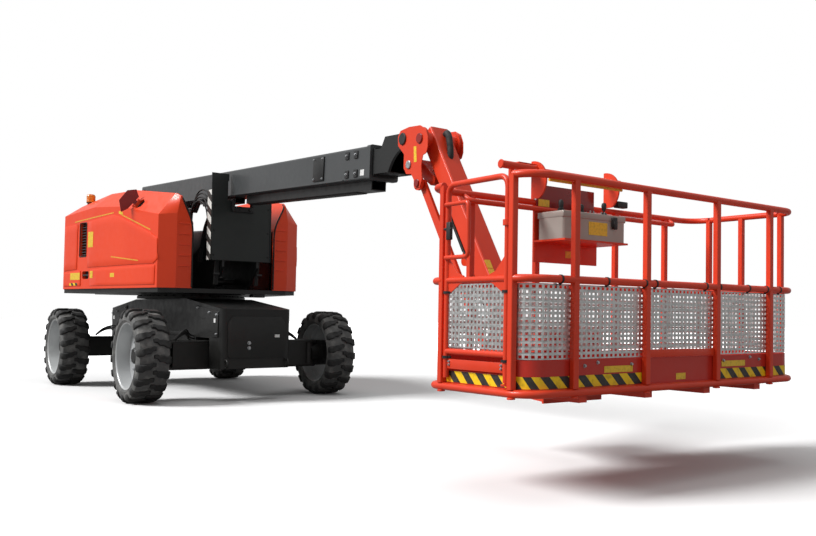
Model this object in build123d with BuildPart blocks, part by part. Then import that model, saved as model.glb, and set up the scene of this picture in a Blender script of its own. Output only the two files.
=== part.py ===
from build123d import *
import math
import os

os.makedirs("parts", exist_ok=True)

# Driving sizes, in millimetres. Forward is +X, left is +Y, and x places count from the slew axis.

# Wheels and axles
wheelbase = 3000
track = 2150
tyre_r = 500
tyre_w = 340
rim_r = 350
rim_wall = 12
disc_out = 12
hub_r = 85
hub_motor_r = 150
axle_z = tyre_r
kingpin_inset = 215
kingpin_r = 40
knuckle_r = 75
yoke_wall = 34
axle_w = 220
axle_h = 260
running_gap = 0.3
clear_gap = 10
rod_share = 0.62

# Chassis and slew ring
chassis_w = 800
chassis_end = 1980
chassis_top = 1130
chassis_nose_top = 1010
chassis_low = 360
chassis_belly = 480
ring_r = 600
ring_h = 60

# Turntable
deck_z = chassis_top + ring_h
deck_t = 50
deck_top = deck_z + deck_t
frame_plate_t = 25
frame_inner = 190
hood_front = 1300
hood_back = -1050
hood_z = deck_top + 0.5
hood_top = 2412
hood_inner = 480
hood_nose_half = 660
hood_corner_half = 830
hood_corner_x = 1200
hood_wide_half = 1245
hood_wall = 30
hood_hinge = (456, 1968)
hood_hinge_x = (-700, 700)
hinge_pin_r = 12
shield_x = 1500
shield_half = 355
shield_low = 1560
shield_top = 2360
tail_reach = 1900

# Tower boom, from its front pivot to the upright
tower_pivot = (1180, 1790)
tower_reach = 2682
tower_w = 260
tower_h = 300
tower_len = 2420
tower_wall = 12
tower_pin_r = 45
tower_fly_step = 22

# Main boom
boom_rise = 668
boom_pitch = -2.4
tower_pitch = 180 + boom_pitch
boom_w = 280
boom_h = 296
boom_wall = 10
boom_len = 6080
boom_tail = 140
section_step = 20
nose_reach = 6650
nose_rise = 139
nose_plate_t = 25
nose_pin_r = 35

# Jib, its parallel link and the levelled pieces at both ends
jib_angle = -57
jib_len = 1800
jib_w = 180
jib_over = 76
jib_under = 85
jib_wall = 8
jib_from_nose = (250, -30)
link_from_jib = (-30, -360)
level_pin_from_nose = (95, -226)
cheek_t = 22
cheek_gap = 25
jib_pin_r = 40
link_pin_r = 28
link_bar_t = 25
link_bar_h = 74
support_inner = 130
support_t = 25
rotator_reach = 340
rotator_r = 105

# Platform
platform_gap = 339
platform_l = 2438
platform_d = 917
ring_z = 576
rail_r = 21
mid_rail = 597
top_rail = 1138
corner_r = 150
post_half = 19
front_post_out = 895
front_post_in = 326
side_post_in = 130
floor_t = 12
toe_h = 150
deck_inset = 32
deck_plate_t = 4
sheet_t = 3


def turned(point, angle):
    """A side-view point turned about its origin, in degrees."""
    a = math.radians(angle)
    return (
        point[0] * math.cos(a) - point[1] * math.sin(a),
        point[0] * math.sin(a) + point[1] * math.cos(a),
    )


def moved(point, step):
    """A side-view point moved by a step."""
    return (point[0] + step[0], point[1] + step[1])


# Places worked out from the sizes, in the side view
upright_foot = moved(tower_pivot, turned((tower_reach, 0), tower_pitch))
boom_pivot = moved(upright_foot, (0, boom_rise))
nose_pin = moved(boom_pivot, turned((nose_reach, nose_rise), boom_pitch))
jib_pin = moved(nose_pin, jib_from_nose)
link_pin = moved(jib_pin, link_from_jib)
level_pin = moved(nose_pin, level_pin_from_nose)
jib_end = moved(jib_pin, turned((jib_len, 0), jib_angle))
link_end = moved(jib_end, link_from_jib)
rotator_x = jib_end[0] + rotator_reach
platform_back = rotator_x + platform_gap
platform_mid = platform_back + platform_d / 2
platform_front = platform_back + platform_d
front_reach = platform_front + rail_r
rear_reach = wheelbase / 2 + tyre_r
slew_x = (rear_reach - front_reach) / 2
top_z = ring_z + top_rail
mid_z = ring_z + mid_rail
floor_z = ring_z + rail_r


def side(place=(0, 0), pitch=0):
    """Side-view plane through the machine's middle: x forward at the pitch, y up."""
    a = math.radians(pitch)
    return Plane((slew_x + place[0], 0, place[1]), x_dir=(math.cos(a), 0, math.sin(a)), z_dir=(0, -1, 0))


def plan(z, x=0, y=0):
    """Plan-view plane at a height."""
    return Plane((slew_x + x, y, z))


def across(place, pitch=0):
    """Cross-section plane that faces forward at the pitch: x to the left, y up."""
    a = math.radians(pitch)
    return Plane((slew_x + place[0], 0, place[1]), x_dir=(0, 1, 0), z_dir=(math.cos(a), 0, math.sin(a)))


def hollow_beam(start, pitch, length, width, height, wall):
    """A square tube from a side-view point."""
    with BuildPart() as beam:
        with BuildSketch(across(start, pitch)):
            RectangleRounded(width, height, 2 * wall)
            RectangleRounded(width - 2 * wall, height - 2 * wall, wall, mode=Mode.SUBTRACT)
        extrude(amount=length)
    return beam.part


def ram_body(start, end, radius, length, eye_r, pin_r, eye_w):
    """The barrel of a ram: an eye at its start and a tube with a gland towards its end."""
    pitch = math.degrees(math.atan2(end[1] - start[1], end[0] - start[0]))
    rod_r = radius * rod_share
    with BuildPart() as barrel:
        with BuildSketch(side(start, pitch)):
            Circle(eye_r)
            with Locations((eye_r, 0)):
                Rectangle(2 * eye_r, eye_w)
        extrude(amount=eye_w / 2, both=True)
        with BuildSketch(across(moved(start, turned((eye_r + 8, 0), pitch)), pitch)):
            Circle(radius)
        extrude(amount=length - eye_r - 8)
        with BuildSketch(across(moved(start, turned((eye_r + 30, 0), pitch)), pitch)):
            Circle(rod_r + 8)
        extrude(amount=length - eye_r - 80, mode=Mode.SUBTRACT)
        with BuildSketch(across(moved(start, turned((length - 60, 0), pitch)), pitch)):
            Circle(rod_r + running_gap)
        extrude(amount=100, mode=Mode.SUBTRACT)
        with BuildSketch(side(start, pitch)):
            Circle(pin_r + running_gap)
        extrude(amount=eye_w, both=True, mode=Mode.SUBTRACT)
    return barrel.part


def ram_rod(start, end, radius, length, eye_r, eye_w):
    """The rod of a ram: a shaft whose eye keeps its pin, so that it can drift between the lugs."""
    reach = math.dist(start, end)
    pitch = math.degrees(math.atan2(end[1] - start[1], end[0] - start[0]))
    with BuildPart() as rod:
        with BuildSketch(across(moved(start, turned((reach - length, 0), pitch)), pitch)):
            Circle(radius * rod_share)
        extrude(amount=length)
        with BuildSketch(side(end, pitch)):
            Circle(eye_r)
        extrude(amount=eye_w / 2 - 3, both=True)
        with BuildSketch(side(end, pitch)):
            Circle(eye_r * 0.6)
        extrude(amount=eye_w / 2, both=True)
    return rod.part


# Wheels
axle_x = {"front": wheelbase / 2, "rear": -wheelbase / 2}
side_sign = {"right": -1, "left": 1}


def wheel_plane(end, hand):
    """Plane through a wheel's axis: x outward along the axle, y up."""
    sign = side_sign[hand]
    return Plane(
        (slew_x + axle_x[end], sign * track / 2, axle_z), x_dir=(0, sign, 0), z_dir=(sign, 0, 0)
    )


for end in axle_x:
    for hand in side_sign:
        hub_line = wheel_plane(end, hand)
        spin_axis = Axis(hub_line.origin, hub_line.x_dir)
        bead = tyre_w / 2 - 35

        # Tyre with a flat crown, sloping shoulders and a full sidewall
        with BuildPart() as tyre:
            with BuildSketch(hub_line):
                with BuildLine():
                    Polyline(
                        (-bead, rim_r),
                        (-tyre_w / 2 + 6, rim_r + 45),
                        (-tyre_w / 2, tyre_r - 70),
                        (-tyre_w / 2 + 28, tyre_r),
                        (tyre_w / 2 - 28, tyre_r),
                        (tyre_w / 2, tyre_r - 70),
                        (tyre_w / 2 - 6, rim_r + 45),
                        (bead, rim_r),
                        close=True,
                    )
                make_face()
            revolve(axis=spin_axis)
        tyre.part.label = f"{end}_{hand}_tyre"
        export_step(tyre.part, f"parts/{end}_{hand}_tyre.step")

        # Rim with a deep dish, its disc bolted to the hub
        with BuildPart() as rim:
            with BuildSketch(hub_line):
                with BuildLine():
                    Polyline(
                        (-bead, rim_r),
                        (-bead, rim_r - rim_wall),
                        (disc_out - 40, rim_r - rim_wall),
                        (disc_out - 14, rim_r - 3 * rim_wall),
                        (disc_out, hub_r + 120),
                        (disc_out, hub_r + running_gap),
                        (disc_out + 14, hub_r + running_gap),
                        (disc_out + 14, hub_r + 125),
                        (disc_out + 4, rim_r - 3 * rim_wall + 6),
                        (bead, rim_r - rim_wall),
                        (bead, rim_r),
                        close=True,
                    )
                make_face()
            revolve(axis=spin_axis)
        rim.part.label = f"{end}_{hand}_rim"
        export_step(rim.part, f"parts/{end}_{hand}_rim.step")


def hub_stack(hub_line, inner):
    """Hub motor and hub face of one wheel, from an inner end to the wheel's disc."""
    with BuildPart() as hub:
        with BuildSketch(hub_line):
            with BuildLine():
                Polyline(
                    (inner, 0),
                    (inner, 110),
                    (-120, 110),
                    (-100, hub_motor_r),
                    (disc_out - running_gap, hub_motor_r),
                    (disc_out - running_gap, hub_r),
                    (disc_out + 50, hub_r),
                    (disc_out + 62, hub_r - 15),
                    (disc_out + 62, 0),
                    close=True,
                )
            make_face()
        revolve(axis=Axis(hub_line.origin, hub_line.x_dir))
    return hub.part


# Steered knuckles, each turning on its kingpin
kingpin_y = track / 2 - kingpin_inset
steer_x = axle_x["front"] - axle_w / 2 - 55
steer_z = axle_z + 90
yoke_inner = knuckle_r + 50
for hand, sign in side_sign.items():
    with BuildPart() as knuckle:
        add(hub_stack(wheel_plane("front", hand), -kingpin_inset))
        with BuildSketch(plan(axle_z - yoke_inner, axle_x["front"], sign * kingpin_y)):
            Circle(knuckle_r)
        extrude(amount=2 * yoke_inner)
        with BuildSketch(plan(axle_z - yoke_inner - yoke_wall, axle_x["front"], sign * kingpin_y)):
            Circle(kingpin_r)
        extrude(amount=2 * (yoke_inner + yoke_wall))
        with BuildSketch(plan(steer_z - 62, axle_x["front"], sign * kingpin_y)):
            with BuildLine():
                Polyline(
                    (0, -sign * (knuckle_r - 17)),
                    (0, sign * (knuckle_r - 10)),
                    (-axle_w / 2 - 75, sign * 62),
                    (-axle_w / 2 - 75, sign * 5),
                    (-axle_w / 2 - 25, sign * 2),
                    close=True,
                )
            make_face()
        extrude(amount=40)
    knuckle.part.label = f"front_{hand}_knuckle"
    export_step(knuckle.part, f"parts/front_{hand}_knuckle.step")

# Front axle beam with a yoke at each end round the knuckle
with BuildPart() as front_axle:
    with BuildSketch(across((axle_x["front"] - axle_w / 2, axle_z))):
        Rectangle(2 * (kingpin_y - knuckle_r - clear_gap), axle_h)
    extrude(amount=axle_w)
    for level in (axle_z + yoke_inner + running_gap, axle_z - yoke_inner - running_gap - yoke_wall):
        with BuildSketch(plan(level, axle_x["front"])):
            with Locations((0, kingpin_y), (0, -kingpin_y)):
                Circle(knuckle_r + 12)
            Rectangle(2 * (knuckle_r + 12), 2 * kingpin_y)
            with Locations((0, kingpin_y), (0, -kingpin_y)):
                Circle(kingpin_r + running_gap, mode=Mode.SUBTRACT)
        extrude(amount=yoke_wall)
    fillet(front_axle.edges().filter_by(Axis.Y).group_by(SortBy.LENGTH)[-1], 15)
front_axle.part.label = "front_axle"
export_step(front_axle.part, "parts/front_axle.step")

# Rear axle beam with a drive hub at each end
with BuildPart() as rear_axle:
    with BuildSketch(across((axle_x["rear"] - axle_w / 2, axle_z))):
        Rectangle(track - 2 * 200, axle_h)
    extrude(amount=axle_w)
    fillet(rear_axle.edges().filter_by(Axis.Y), 30)
    for hand in side_sign:
        add(hub_stack(wheel_plane("rear", hand), -220))
rear_axle.part.label = "rear_axle"
export_step(rear_axle.part, "parts/rear_axle.step")

# Chassis: a welded box with an arch over each axle
arch = axle_w / 2 + 40
arch_in = axle_w / 2 + 130
arch_top = axle_z + yoke_inner + yoke_wall + 30
with BuildPart() as chassis_frame:
    with BuildSketch(side()):
        with BuildLine():
            Polyline(
                (-chassis_end, chassis_low),
                (-chassis_end, chassis_nose_top),
                (-900, chassis_top),
                (900, chassis_top),
                (chassis_end, chassis_nose_top),
                (chassis_end, chassis_low),
                (axle_x["front"] + arch, chassis_low),
                (axle_x["front"] + arch, arch_top),
                (axle_x["front"] - arch_in, arch_top),
                (axle_x["front"] - arch_in, chassis_belly),
                (axle_x["rear"] + arch_in, chassis_belly),
                (axle_x["rear"] + arch_in, arch_top),
                (axle_x["rear"] - arch, arch_top),
                (axle_x["rear"] - arch, chassis_low),
                close=True,
            )
        make_face()
    extrude(amount=chassis_w / 2, both=True)
    ends = chassis_frame.faces().sort_by(Axis.X)
    fillet(ends[0].edges().filter_by(Axis.Z) + ends[-1].edges().filter_by(Axis.Z), 60)
    for end in axle_x:
        with BuildSketch(across((axle_x[end] - arch_in - 60, axle_z))):
            Circle(45)
        extrude(amount=2 * arch_in + 120)
        with BuildSketch(across((axle_x[end] - axle_w / 2, axle_z))):
            Rectangle(300, axle_h)
        extrude(amount=axle_w, mode=Mode.SUBTRACT)
chassis_frame.part.label = "chassis_frame"
export_step(chassis_frame.part, "parts/chassis_frame.step")

# Slew ring between the chassis and the turntable
with BuildPart() as slew_ring:
    with BuildSketch(plan(chassis_top)):
        Circle(ring_r + 40)
        Circle(ring_r - 120, mode=Mode.SUBTRACT)
    extrude(amount=ring_h / 2)
    with BuildSketch(plan(chassis_top + ring_h / 2)):
        Circle(ring_r)
        Circle(ring_r - 120, mode=Mode.SUBTRACT)
    extrude(amount=ring_h / 2 - running_gap)
slew_ring.part.label = "slew_ring"
export_step(slew_ring.part, "parts/slew_ring.step")

# Steering cylinder on the back of the front axle, with its through rod
steer_line = Plane((slew_x + steer_x, 0, steer_z), x_dir=(1, 0, 0), z_dir=(0, 1, 0))
steer_half = 260
steer_rod_half = kingpin_y + 30
with BuildPart() as steering_cylinder:
    with BuildSketch(steer_line):
        Circle(40)
        Circle(18 + running_gap, mode=Mode.SUBTRACT)
    extrude(amount=steer_half, both=True)
    with BuildSketch(steer_line.offset(-40)):
        with Locations((32, 0)):
            Rectangle(45.9, 60)
        Circle(39, mode=Mode.SUBTRACT)
    extrude(amount=80)
steering_cylinder.part.label = "steering_cylinder"
export_step(steering_cylinder.part, "parts/steering_cylinder.step")

with BuildPart() as steering_rod:
    with BuildSketch(steer_line):
        Circle(18)
    extrude(amount=steer_rod_half, both=True)
    with BuildSketch(plan(steer_z - 14, steer_x)):
        with Locations((0, steer_rod_half), (0, -steer_rod_half)):
            Circle(30)
            Circle(12, mode=Mode.SUBTRACT)
    extrude(amount=28)
    with BuildSketch(plan(steer_z - 14, steer_x)):
        with Locations((0, steer_rod_half), (0, -steer_rod_half)):
            Circle(12 + running_gap)
    extrude(amount=28, mode=Mode.SUBTRACT)
steering_rod.part.label = "steering_rod"
export_step(steering_rod.part, "parts/steering_rod.step")


# Turntable deck and its two boom-carrying plates
def deck_outline(shrink):
    """Half outline of the hoods in plan, drawn in from their skin."""
    return [
        (hood_front - shrink, 0),
        (hood_front - shrink, hood_nose_half - shrink / 2),
        (hood_corner_x - shrink, hood_corner_half - shrink),
        (hood_back, hood_wide_half - shrink),
        (hood_back, 0),
    ]


tower_pin_half = frame_inner + frame_plate_t
tower_ram_foot = (850, deck_top + 100)
tower_ram_head = moved(tower_pivot, turned((1430, tower_h / 2 + 60), tower_pitch))
with BuildPart() as turntable_frame:
    with BuildSketch(plan(deck_z)):
        with BuildLine():
            Polyline(*deck_outline(15), close=True)
        make_face()
        mirror(about=Plane.XZ)
        with Locations((hood_back, 0)):
            Rectangle(900, 1500)
    extrude(amount=deck_t)
    with BuildSketch(side()):
        with BuildLine():
            Polyline(
                (-1250, deck_top),
                (-1250, deck_top + 180),
                (400, deck_top + 330),
                (tower_pivot[0] - 160, tower_pivot[1] + 60),
                (tower_pivot[0] - 100, tower_pivot[1] + 120),
                (shield_x - 12.3, tower_pivot[1] + 120),
                (shield_x - 12.3, deck_top + 250),
                (hood_front - 80, deck_top),
                close=True,
            )
        make_face()
    extrude(amount=tower_pin_half, both=True)
    with BuildSketch(side()):
        with Locations((0, deck_top + 1000)):
            Rectangle(2 * 1700, 2000)
    extrude(amount=frame_inner, both=True, mode=Mode.SUBTRACT)
    with BuildSketch(side(tower_pivot)):
        Circle(tower_pin_r)
    extrude(amount=tower_pin_half + 12, both=True)
    with BuildSketch(side(tower_ram_foot)):
        Circle(35)
    extrude(amount=tower_pin_half, both=True)
    for x in hood_hinge_x:
        for step in (-54, 42):
            with BuildSketch(across((x + step, 0))):
                for hand in (-1, 1):
                    with Locations((hand * hood_hinge[0], hood_hinge[1])):
                        Circle(20)
                    with Locations((hand * hood_hinge[0], (deck_top + hood_hinge[1]) / 2)):
                        Rectangle(40, hood_hinge[1] - deck_top)
            extrude(amount=12)
        with BuildSketch(across((x - 42, 0))):
            with Locations((-hood_hinge[0], hood_hinge[1]), hood_hinge):
                Circle(hinge_pin_r)
        extrude(amount=84)
turntable_frame.part.label = "turntable_frame"
export_step(turntable_frame.part, "parts/turntable_frame.step")

# Counterweight: a cast block with cut corners and a slot for the upright
with BuildPart() as counterweight:
    with BuildSketch(plan(deck_top)):
        with BuildLine():
            Polyline(
                (hood_back - 18, 0),
                (hood_back - 18, hood_wide_half - 12),
                (-1560, 1110),
                (-tail_reach + 60, 900),
                (-tail_reach, 700),
                (-tail_reach, 0),
                close=True,
            )
        make_face()
        mirror(about=Plane.XZ)
    extrude(amount=860)
    chamfer(counterweight.faces().sort_by(Axis.Z)[-1].edges().sort_by(Axis.X)[:-1], 70)
    with BuildSketch(side()):
        with Locations((-1500, deck_top + 160 + 500)):
            Rectangle(900, 1000)
    extrude(amount=frame_inner + frame_plate_t + clear_gap, both=True, mode=Mode.SUBTRACT)
    with BuildSketch(side()):
        with Locations((-1190, deck_top + 190)):
            Rectangle(260, 400)
    extrude(amount=frame_inner + frame_plate_t + clear_gap, both=True, mode=Mode.SUBTRACT)
counterweight.part.label = "counterweight"
export_step(counterweight.part, "parts/counterweight.step")

# Front shield with its raised boom guide
with BuildPart() as front_shield:
    with BuildSketch(across((shield_x - 12, 0))):
        with Locations((0, (shield_low + shield_top) / 2)):
            Rectangle(2 * shield_half, shield_top - shield_low)
        with Locations((-(shield_half + boom_w / 2 + 20) / 2, shield_top + 95)):
            Rectangle(shield_half - boom_w / 2 - 20, 190)
        with Locations((0, shield_top)):
            Rectangle(boom_w + 60, 220, mode=Mode.SUBTRACT)
            Rectangle(190, 340, mode=Mode.SUBTRACT)
    extrude(amount=12)
    for hand in (-1, 1):
        with BuildSketch(side((0, 0)).offset(-hand * (shield_half - 12) - (12 if hand > 0 else 0))):
            with Locations((shield_x - 60, (shield_low + shield_top) / 2)):
                Rectangle(120, shield_top - shield_low)
        extrude(amount=12)
front_shield.part.label = "front_shield"
export_step(front_shield.part, "parts/front_shield.step")

# Engine and tanks, plain blocks at their places under the hoods
with BuildPart() as engine:
    with BuildSketch(plan(deck_top, -100, 620)):
        Rectangle(950, 520)
    extrude(amount=640)
    fillet(engine.edges(), 40)
engine.part.label = "engine"
export_step(engine.part, "parts/engine.step")

with BuildPart() as tanks:
    with BuildSketch(plan(deck_top, -450, -740)):
        Rectangle(800, 500)
    extrude(amount=560)
    fillet(tanks.edges().filter_by(Axis.Z), 70)
    fillet(tanks.faces().sort_by(Axis.Z)[-1].edges(), 30)
tanks.part.label = "tanks"
export_step(tanks.part, "parts/tanks.step")

with BuildPart() as ground_controls:
    with BuildSketch(plan(deck_top, 480, -640)):
        Rectangle(340, 300)
    extrude(amount=700)
    fillet(ground_controls.edges().filter_by(Axis.Z), 20)
ground_controls.part.label = "ground_controls"
export_step(ground_controls.part, "parts/ground_controls.step")


# Hoods: shells open below and towards the booms, each lofted through its cross-sections
hood_stations = (
    (hood_front, hood_nose_half, 50, 2080, 2275),
    (hood_corner_x, hood_corner_half, 180, 2060, 2312),
    (350, 994, 180, 2200, hood_top),
    (-250, 1110, 190, 2230, hood_top),
    (hood_back, hood_wide_half, 195, 2165, 2309),
)
bevel_low = (hood_inner, 1980)
bevel_lean = 0.44


def hood_section(sign, station, skin):
    """One cross-section of a hood; a skin above zero gives the hollow inside it."""
    x, half, run, eave, roof = station
    x -= math.copysign(skin, x)
    bevel_top = bevel_low[0] + (roof - bevel_low[1]) * bevel_lean
    low = hood_z - 2 * skin
    outline = [
        (half - 1.4 * skin, low),
        (half - 1.4 * skin, eave - skin / 2),
        (max(half - run - skin / 2, bevel_top + 15 + skin / 3), roof - skin),
        (bevel_top + skin / 3, roof - skin),
        (bevel_low[0] + skin / 2, bevel_low[1] - skin),
        (bevel_low[0] - 2 * skin, bevel_low[1] - skin - 1),
        (bevel_low[0] - 2 * skin, low),
    ]
    with BuildSketch(across((x, 0))) as section:
        with BuildLine():
            Polyline([(sign * y, z) for y, z in outline], close=True)
        make_face()
    return section.sketch


hollow_stations = ((hood_front, hood_nose_half + 50, 60, 2080, 2275),) + hood_stations[1:]


def hood_shell(sign):
    """One hood, for the left side with sign 1 and the right side with sign -1."""
    skins = [hood_section(sign, station, 0) for station in hood_stations]
    hollows = [hood_section(sign, station, hood_wall) for station in hollow_stations]
    with BuildPart() as hood:
        loft(skins, ruled=True)
        loft(hollows, ruled=True, mode=Mode.SUBTRACT)
        for x in hood_hinge_x:
            with BuildSketch(across((x - 40, 0))):
                with Locations((sign * hood_hinge[0], hood_hinge[1])):
                    Circle(20)
                with Locations((sign * (hood_hinge[0] + 20), hood_hinge[1])):
                    Rectangle(40, 20)
                with Locations((sign * hood_hinge[0], hood_hinge[1])):
                    Circle(hinge_pin_r + running_gap, mode=Mode.SUBTRACT)
            extrude(amount=80)
    return hood.part


# Beacon place and filler lid, which stands open on the right hood's bevel over its opening
beacon_foot = (-950, -975, 2332)
lid_x = 600
lid_lean = 51.2
lid_foot = Plane(
    (slew_x + lid_x, -945, 2159),
    x_dir=(0, math.cos(math.radians(lid_lean)), math.sin(math.radians(lid_lean))),
    z_dir=(1, 0, 0),
)
lid_mouth = Plane(lid_foot.origin, x_dir=lid_foot.x_dir, z_dir=-lid_foot.y_dir)
lid_pin_lift = 9
lid_t = 6
lid_outline = ((-105, 45), (-15, 150), (134, 158), (212, 93), (155, 0), (20, 0))

# Openings in the right hood's side: its air slot and its hand hole, as middle, width and height
side_openings = (((-530, 1845), 180, 420), ((-445, 1407), 170, 95))

with BuildPart() as right_hood:
    add(hood_shell(-1))
    with BuildSketch(lid_mouth.offset(-60)):
        with Locations((87, 85)):
            RegularPolygon(72, 6)
    extrude(amount=120, mode=Mode.SUBTRACT)
    for reach in (30, 125):
        with BuildSketch(Plane(lid_foot.from_local_coords((reach, 0, 0)), x_dir=(1, 0, 0), z_dir=lid_foot.x_dir)):
            with Locations((0, -lid_pin_lift)):
                Circle(7)
            with Locations((0, -lid_pin_lift / 2 + 4)):
                Rectangle(14, lid_pin_lift + 8)
        extrude(amount=20)
    with BuildSketch(Plane(lid_foot.from_local_coords((40, 0, 0)), x_dir=(1, 0, 0), z_dir=lid_foot.x_dir)):
        with Locations((0, -lid_pin_lift)):
            Circle(3.5)
    extrude(amount=90)
    with BuildSketch(plan(beacon_foot[2] - 40, beacon_foot[0], beacon_foot[1])):
        Circle(44)
    extrude(amount=40)
    for middle, width, height in side_openings:
        with BuildSketch(side().offset(1050)):
            with Locations(middle):
                RectangleRounded(width, height, 25)
        extrude(amount=250, mode=Mode.SUBTRACT)
right_hood.part.label = "right_hood"
export_step(right_hood.part, "parts/right_hood.step")

with BuildPart() as left_hood:
    add(hood_shell(1))
left_hood.part.label = "left_hood"
export_step(left_hood.part, "parts/left_hood.step")

with BuildPart() as filler_lid:
    with BuildSketch(lid_foot.offset(-lid_t / 2)):
        with BuildLine():
            Polyline([(u, v + lid_pin_lift) for u, v in lid_outline], close=True)
        make_face()
        with Locations((20, 0), (155, 0)):
            Rectangle(80, 50, mode=Mode.SUBTRACT)
    extrude(amount=lid_t)
    with BuildSketch(Plane(lid_foot.from_local_coords((60, 0, 0)), x_dir=(1, 0, 0), z_dir=lid_foot.x_dir)):
        with Locations((0, -lid_pin_lift)):
            Circle(7)
    extrude(amount=55)
    with BuildSketch(Plane(lid_foot.from_local_coords((60, 0, 0)), x_dir=(1, 0, 0), z_dir=lid_foot.x_dir)):
        with Locations((0, -lid_pin_lift)):
            Circle(3.5 + running_gap)
    extrude(amount=55, mode=Mode.SUBTRACT)
filler_lid.part.label = "filler_lid"
export_step(filler_lid.part, "parts/filler_lid.step")

# Beacon on the right hood's roof
with BuildPart() as beacon:
    with BuildSketch(plan(beacon_foot[2], beacon_foot[0], beacon_foot[1])):
        Circle(40)
    extrude(amount=28)
    with BuildSketch(plan(beacon_foot[2] + 28, beacon_foot[0], beacon_foot[1])):
        Circle(54)
    extrude(amount=110, taper=3)
    fillet(beacon.faces().sort_by(Axis.Z)[-1].edges(), 18)
beacon.part.label = "beacon"
export_step(beacon.part, "parts/beacon.step")

# Tower boom: outer section with its pivot boss, ram lugs and end collar
fly_w = tower_w - 2 * (tower_wall + 8)
fly_h = tower_h - 2 * (tower_wall + 8)
tower_start = moved(tower_pivot, turned((-90, 0), tower_pitch))
with BuildPart() as tower_boom:
    add(hollow_beam(tower_start, tower_pitch, tower_len, tower_w, tower_h, tower_wall))
    with BuildSketch(across(moved(tower_start, turned((tower_len, 0), tower_pitch)), tower_pitch)):
        RectangleRounded(tower_w + 16, tower_h + 16, 24)
        RectangleRounded(fly_w + 1, fly_h + 1, 2 * tower_wall, mode=Mode.SUBTRACT)
    extrude(amount=-70)
    with BuildSketch(side(tower_pivot)):
        Circle(95)
    extrude(amount=frame_inner - running_gap, both=True)
    with BuildSketch(side(tower_ram_head, tower_pitch)):
        with BuildLine():
            Polyline((-130, -65), (130, -65), (45, 25), (-45, 25), close=True)
        make_face()
        Circle(50)
    extrude(amount=90, both=True)
    with BuildSketch(side(tower_ram_head, tower_pitch)):
        Rectangle(280, 118)
    extrude(amount=42, both=True, mode=Mode.SUBTRACT)
    with BuildSketch(side(tower_pivot)):
        Circle(tower_pin_r + running_gap)
    extrude(amount=frame_inner, both=True, mode=Mode.SUBTRACT)
tower_boom.part.label = "tower_boom"
export_step(tower_boom.part, "parts/tower_boom.step")

# Tower fly section, sliding in the outer one and carrying the upright
fly_len = 2330
fly_front = moved(tower_pivot, turned((tower_reach - fly_len, 0), tower_pitch))
with BuildPart() as tower_fly:
    add(hollow_beam(fly_front, tower_pitch, fly_len - 60, fly_w, fly_h, tower_wall))
    with BuildSketch(side(upright_foot, tower_pitch)):
        Circle(80)
        with Locations((-60, 0)):
            Rectangle(120, 160)
    extrude(amount=fly_w / 2, both=True)
    with BuildSketch(side(upright_foot)):
        Circle(40 + running_gap)
    extrude(amount=fly_w, both=True, mode=Mode.SUBTRACT)
tower_fly.part.label = "tower_fly"
export_step(tower_fly.part, "parts/tower_fly.step")

# Upright between the tower and the main boom
upright_inner = boom_w / 2 + 12
upright_t = 22
lift_foot = (boom_pivot[0] + 130, boom_pivot[1] - 440)
with BuildPart() as upright:
    with BuildSketch(side()):
        with BuildLine():
            Polyline(
                (upright_foot[0] - 110, upright_foot[1] - 110),
                (upright_foot[0] + 90, upright_foot[1] - 110),
                (lift_foot[0] + 70, lift_foot[1] - 60),
                (lift_foot[0] + 70, lift_foot[1] + 70),
                (boom_pivot[0] + 90, boom_pivot[1] + 20),
                (boom_pivot[0] + 60, boom_pivot[1] + 90),
                (boom_pivot[0] - 60, boom_pivot[1] + 90),
                (boom_pivot[0] - 110, boom_pivot[1] + 20),
                close=True,
            )
        make_face()
    extrude(amount=upright_inner + upright_t, both=True)
    with BuildSketch(side()):
        with Locations((boom_pivot[0], 1500 + 750)):
            Rectangle(900, 2500)
    extrude(amount=upright_inner, both=True, mode=Mode.SUBTRACT)
    for place, radius in (
        (upright_foot, 40),
        (boom_pivot, 45),
        (lift_foot, 35),
    ):
        with BuildSketch(side(place)):
            Circle(radius)
        extrude(amount=upright_inner + upright_t + 12, both=True)
    with BuildSketch(side()):
        with Locations((boom_pivot[0] - 95, boom_pivot[1] - 420)):
            Rectangle(24, 260)
    extrude(amount=upright_inner + 5, both=True)
upright.part.label = "upright"
export_step(upright.part, "parts/upright.step")

# Main boom: three sections, the outer one with its tail boss and lift lug
mid_w = boom_w - 2 * section_step
mid_h = boom_h - 2 * section_step
nose_w = mid_w - 2 * section_step
nose_h = mid_h - 2 * section_step
cheek_inner = nose_w / 2 + nose_plate_t + cheek_gap
lift_head_along = 1350
lift_head = moved(boom_pivot, turned((lift_head_along, -boom_h / 2 - 60), boom_pitch))
boom_start = moved(boom_pivot, turned((-boom_tail, 0), boom_pitch))
with BuildPart() as main_boom:
    add(hollow_beam(boom_start, boom_pitch, boom_len + boom_tail, boom_w, boom_h, boom_wall))
    with BuildSketch(side(boom_pivot)):
        Circle(85)
    extrude(amount=upright_inner - running_gap, both=True)
    with BuildSketch(side(lift_head, boom_pitch)):
        with BuildLine():
            Polyline((-130, 65), (130, 65), (45, -25), (-45, -25), close=True)
        make_face()
        Circle(50)
    extrude(amount=90, both=True)
    with BuildSketch(side(lift_head, boom_pitch)):
        Rectangle(300, 118)
    extrude(amount=42, both=True, mode=Mode.SUBTRACT)
    with BuildSketch(side(boom_pivot)):
        Circle(45 + running_gap)
    extrude(amount=upright_inner, both=True, mode=Mode.SUBTRACT)
    with BuildSketch(across(moved(boom_pivot, turned((boom_len - 60, 0), boom_pitch)), boom_pitch)):
        RectangleRounded(boom_w + 16, boom_h + 16, 24)
        RectangleRounded(mid_w + 1, mid_h + 1, 2 * boom_wall, mode=Mode.SUBTRACT)
    extrude(amount=60)
main_boom.part.label = "main_boom"
export_step(main_boom.part, "parts/main_boom.step")

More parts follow.
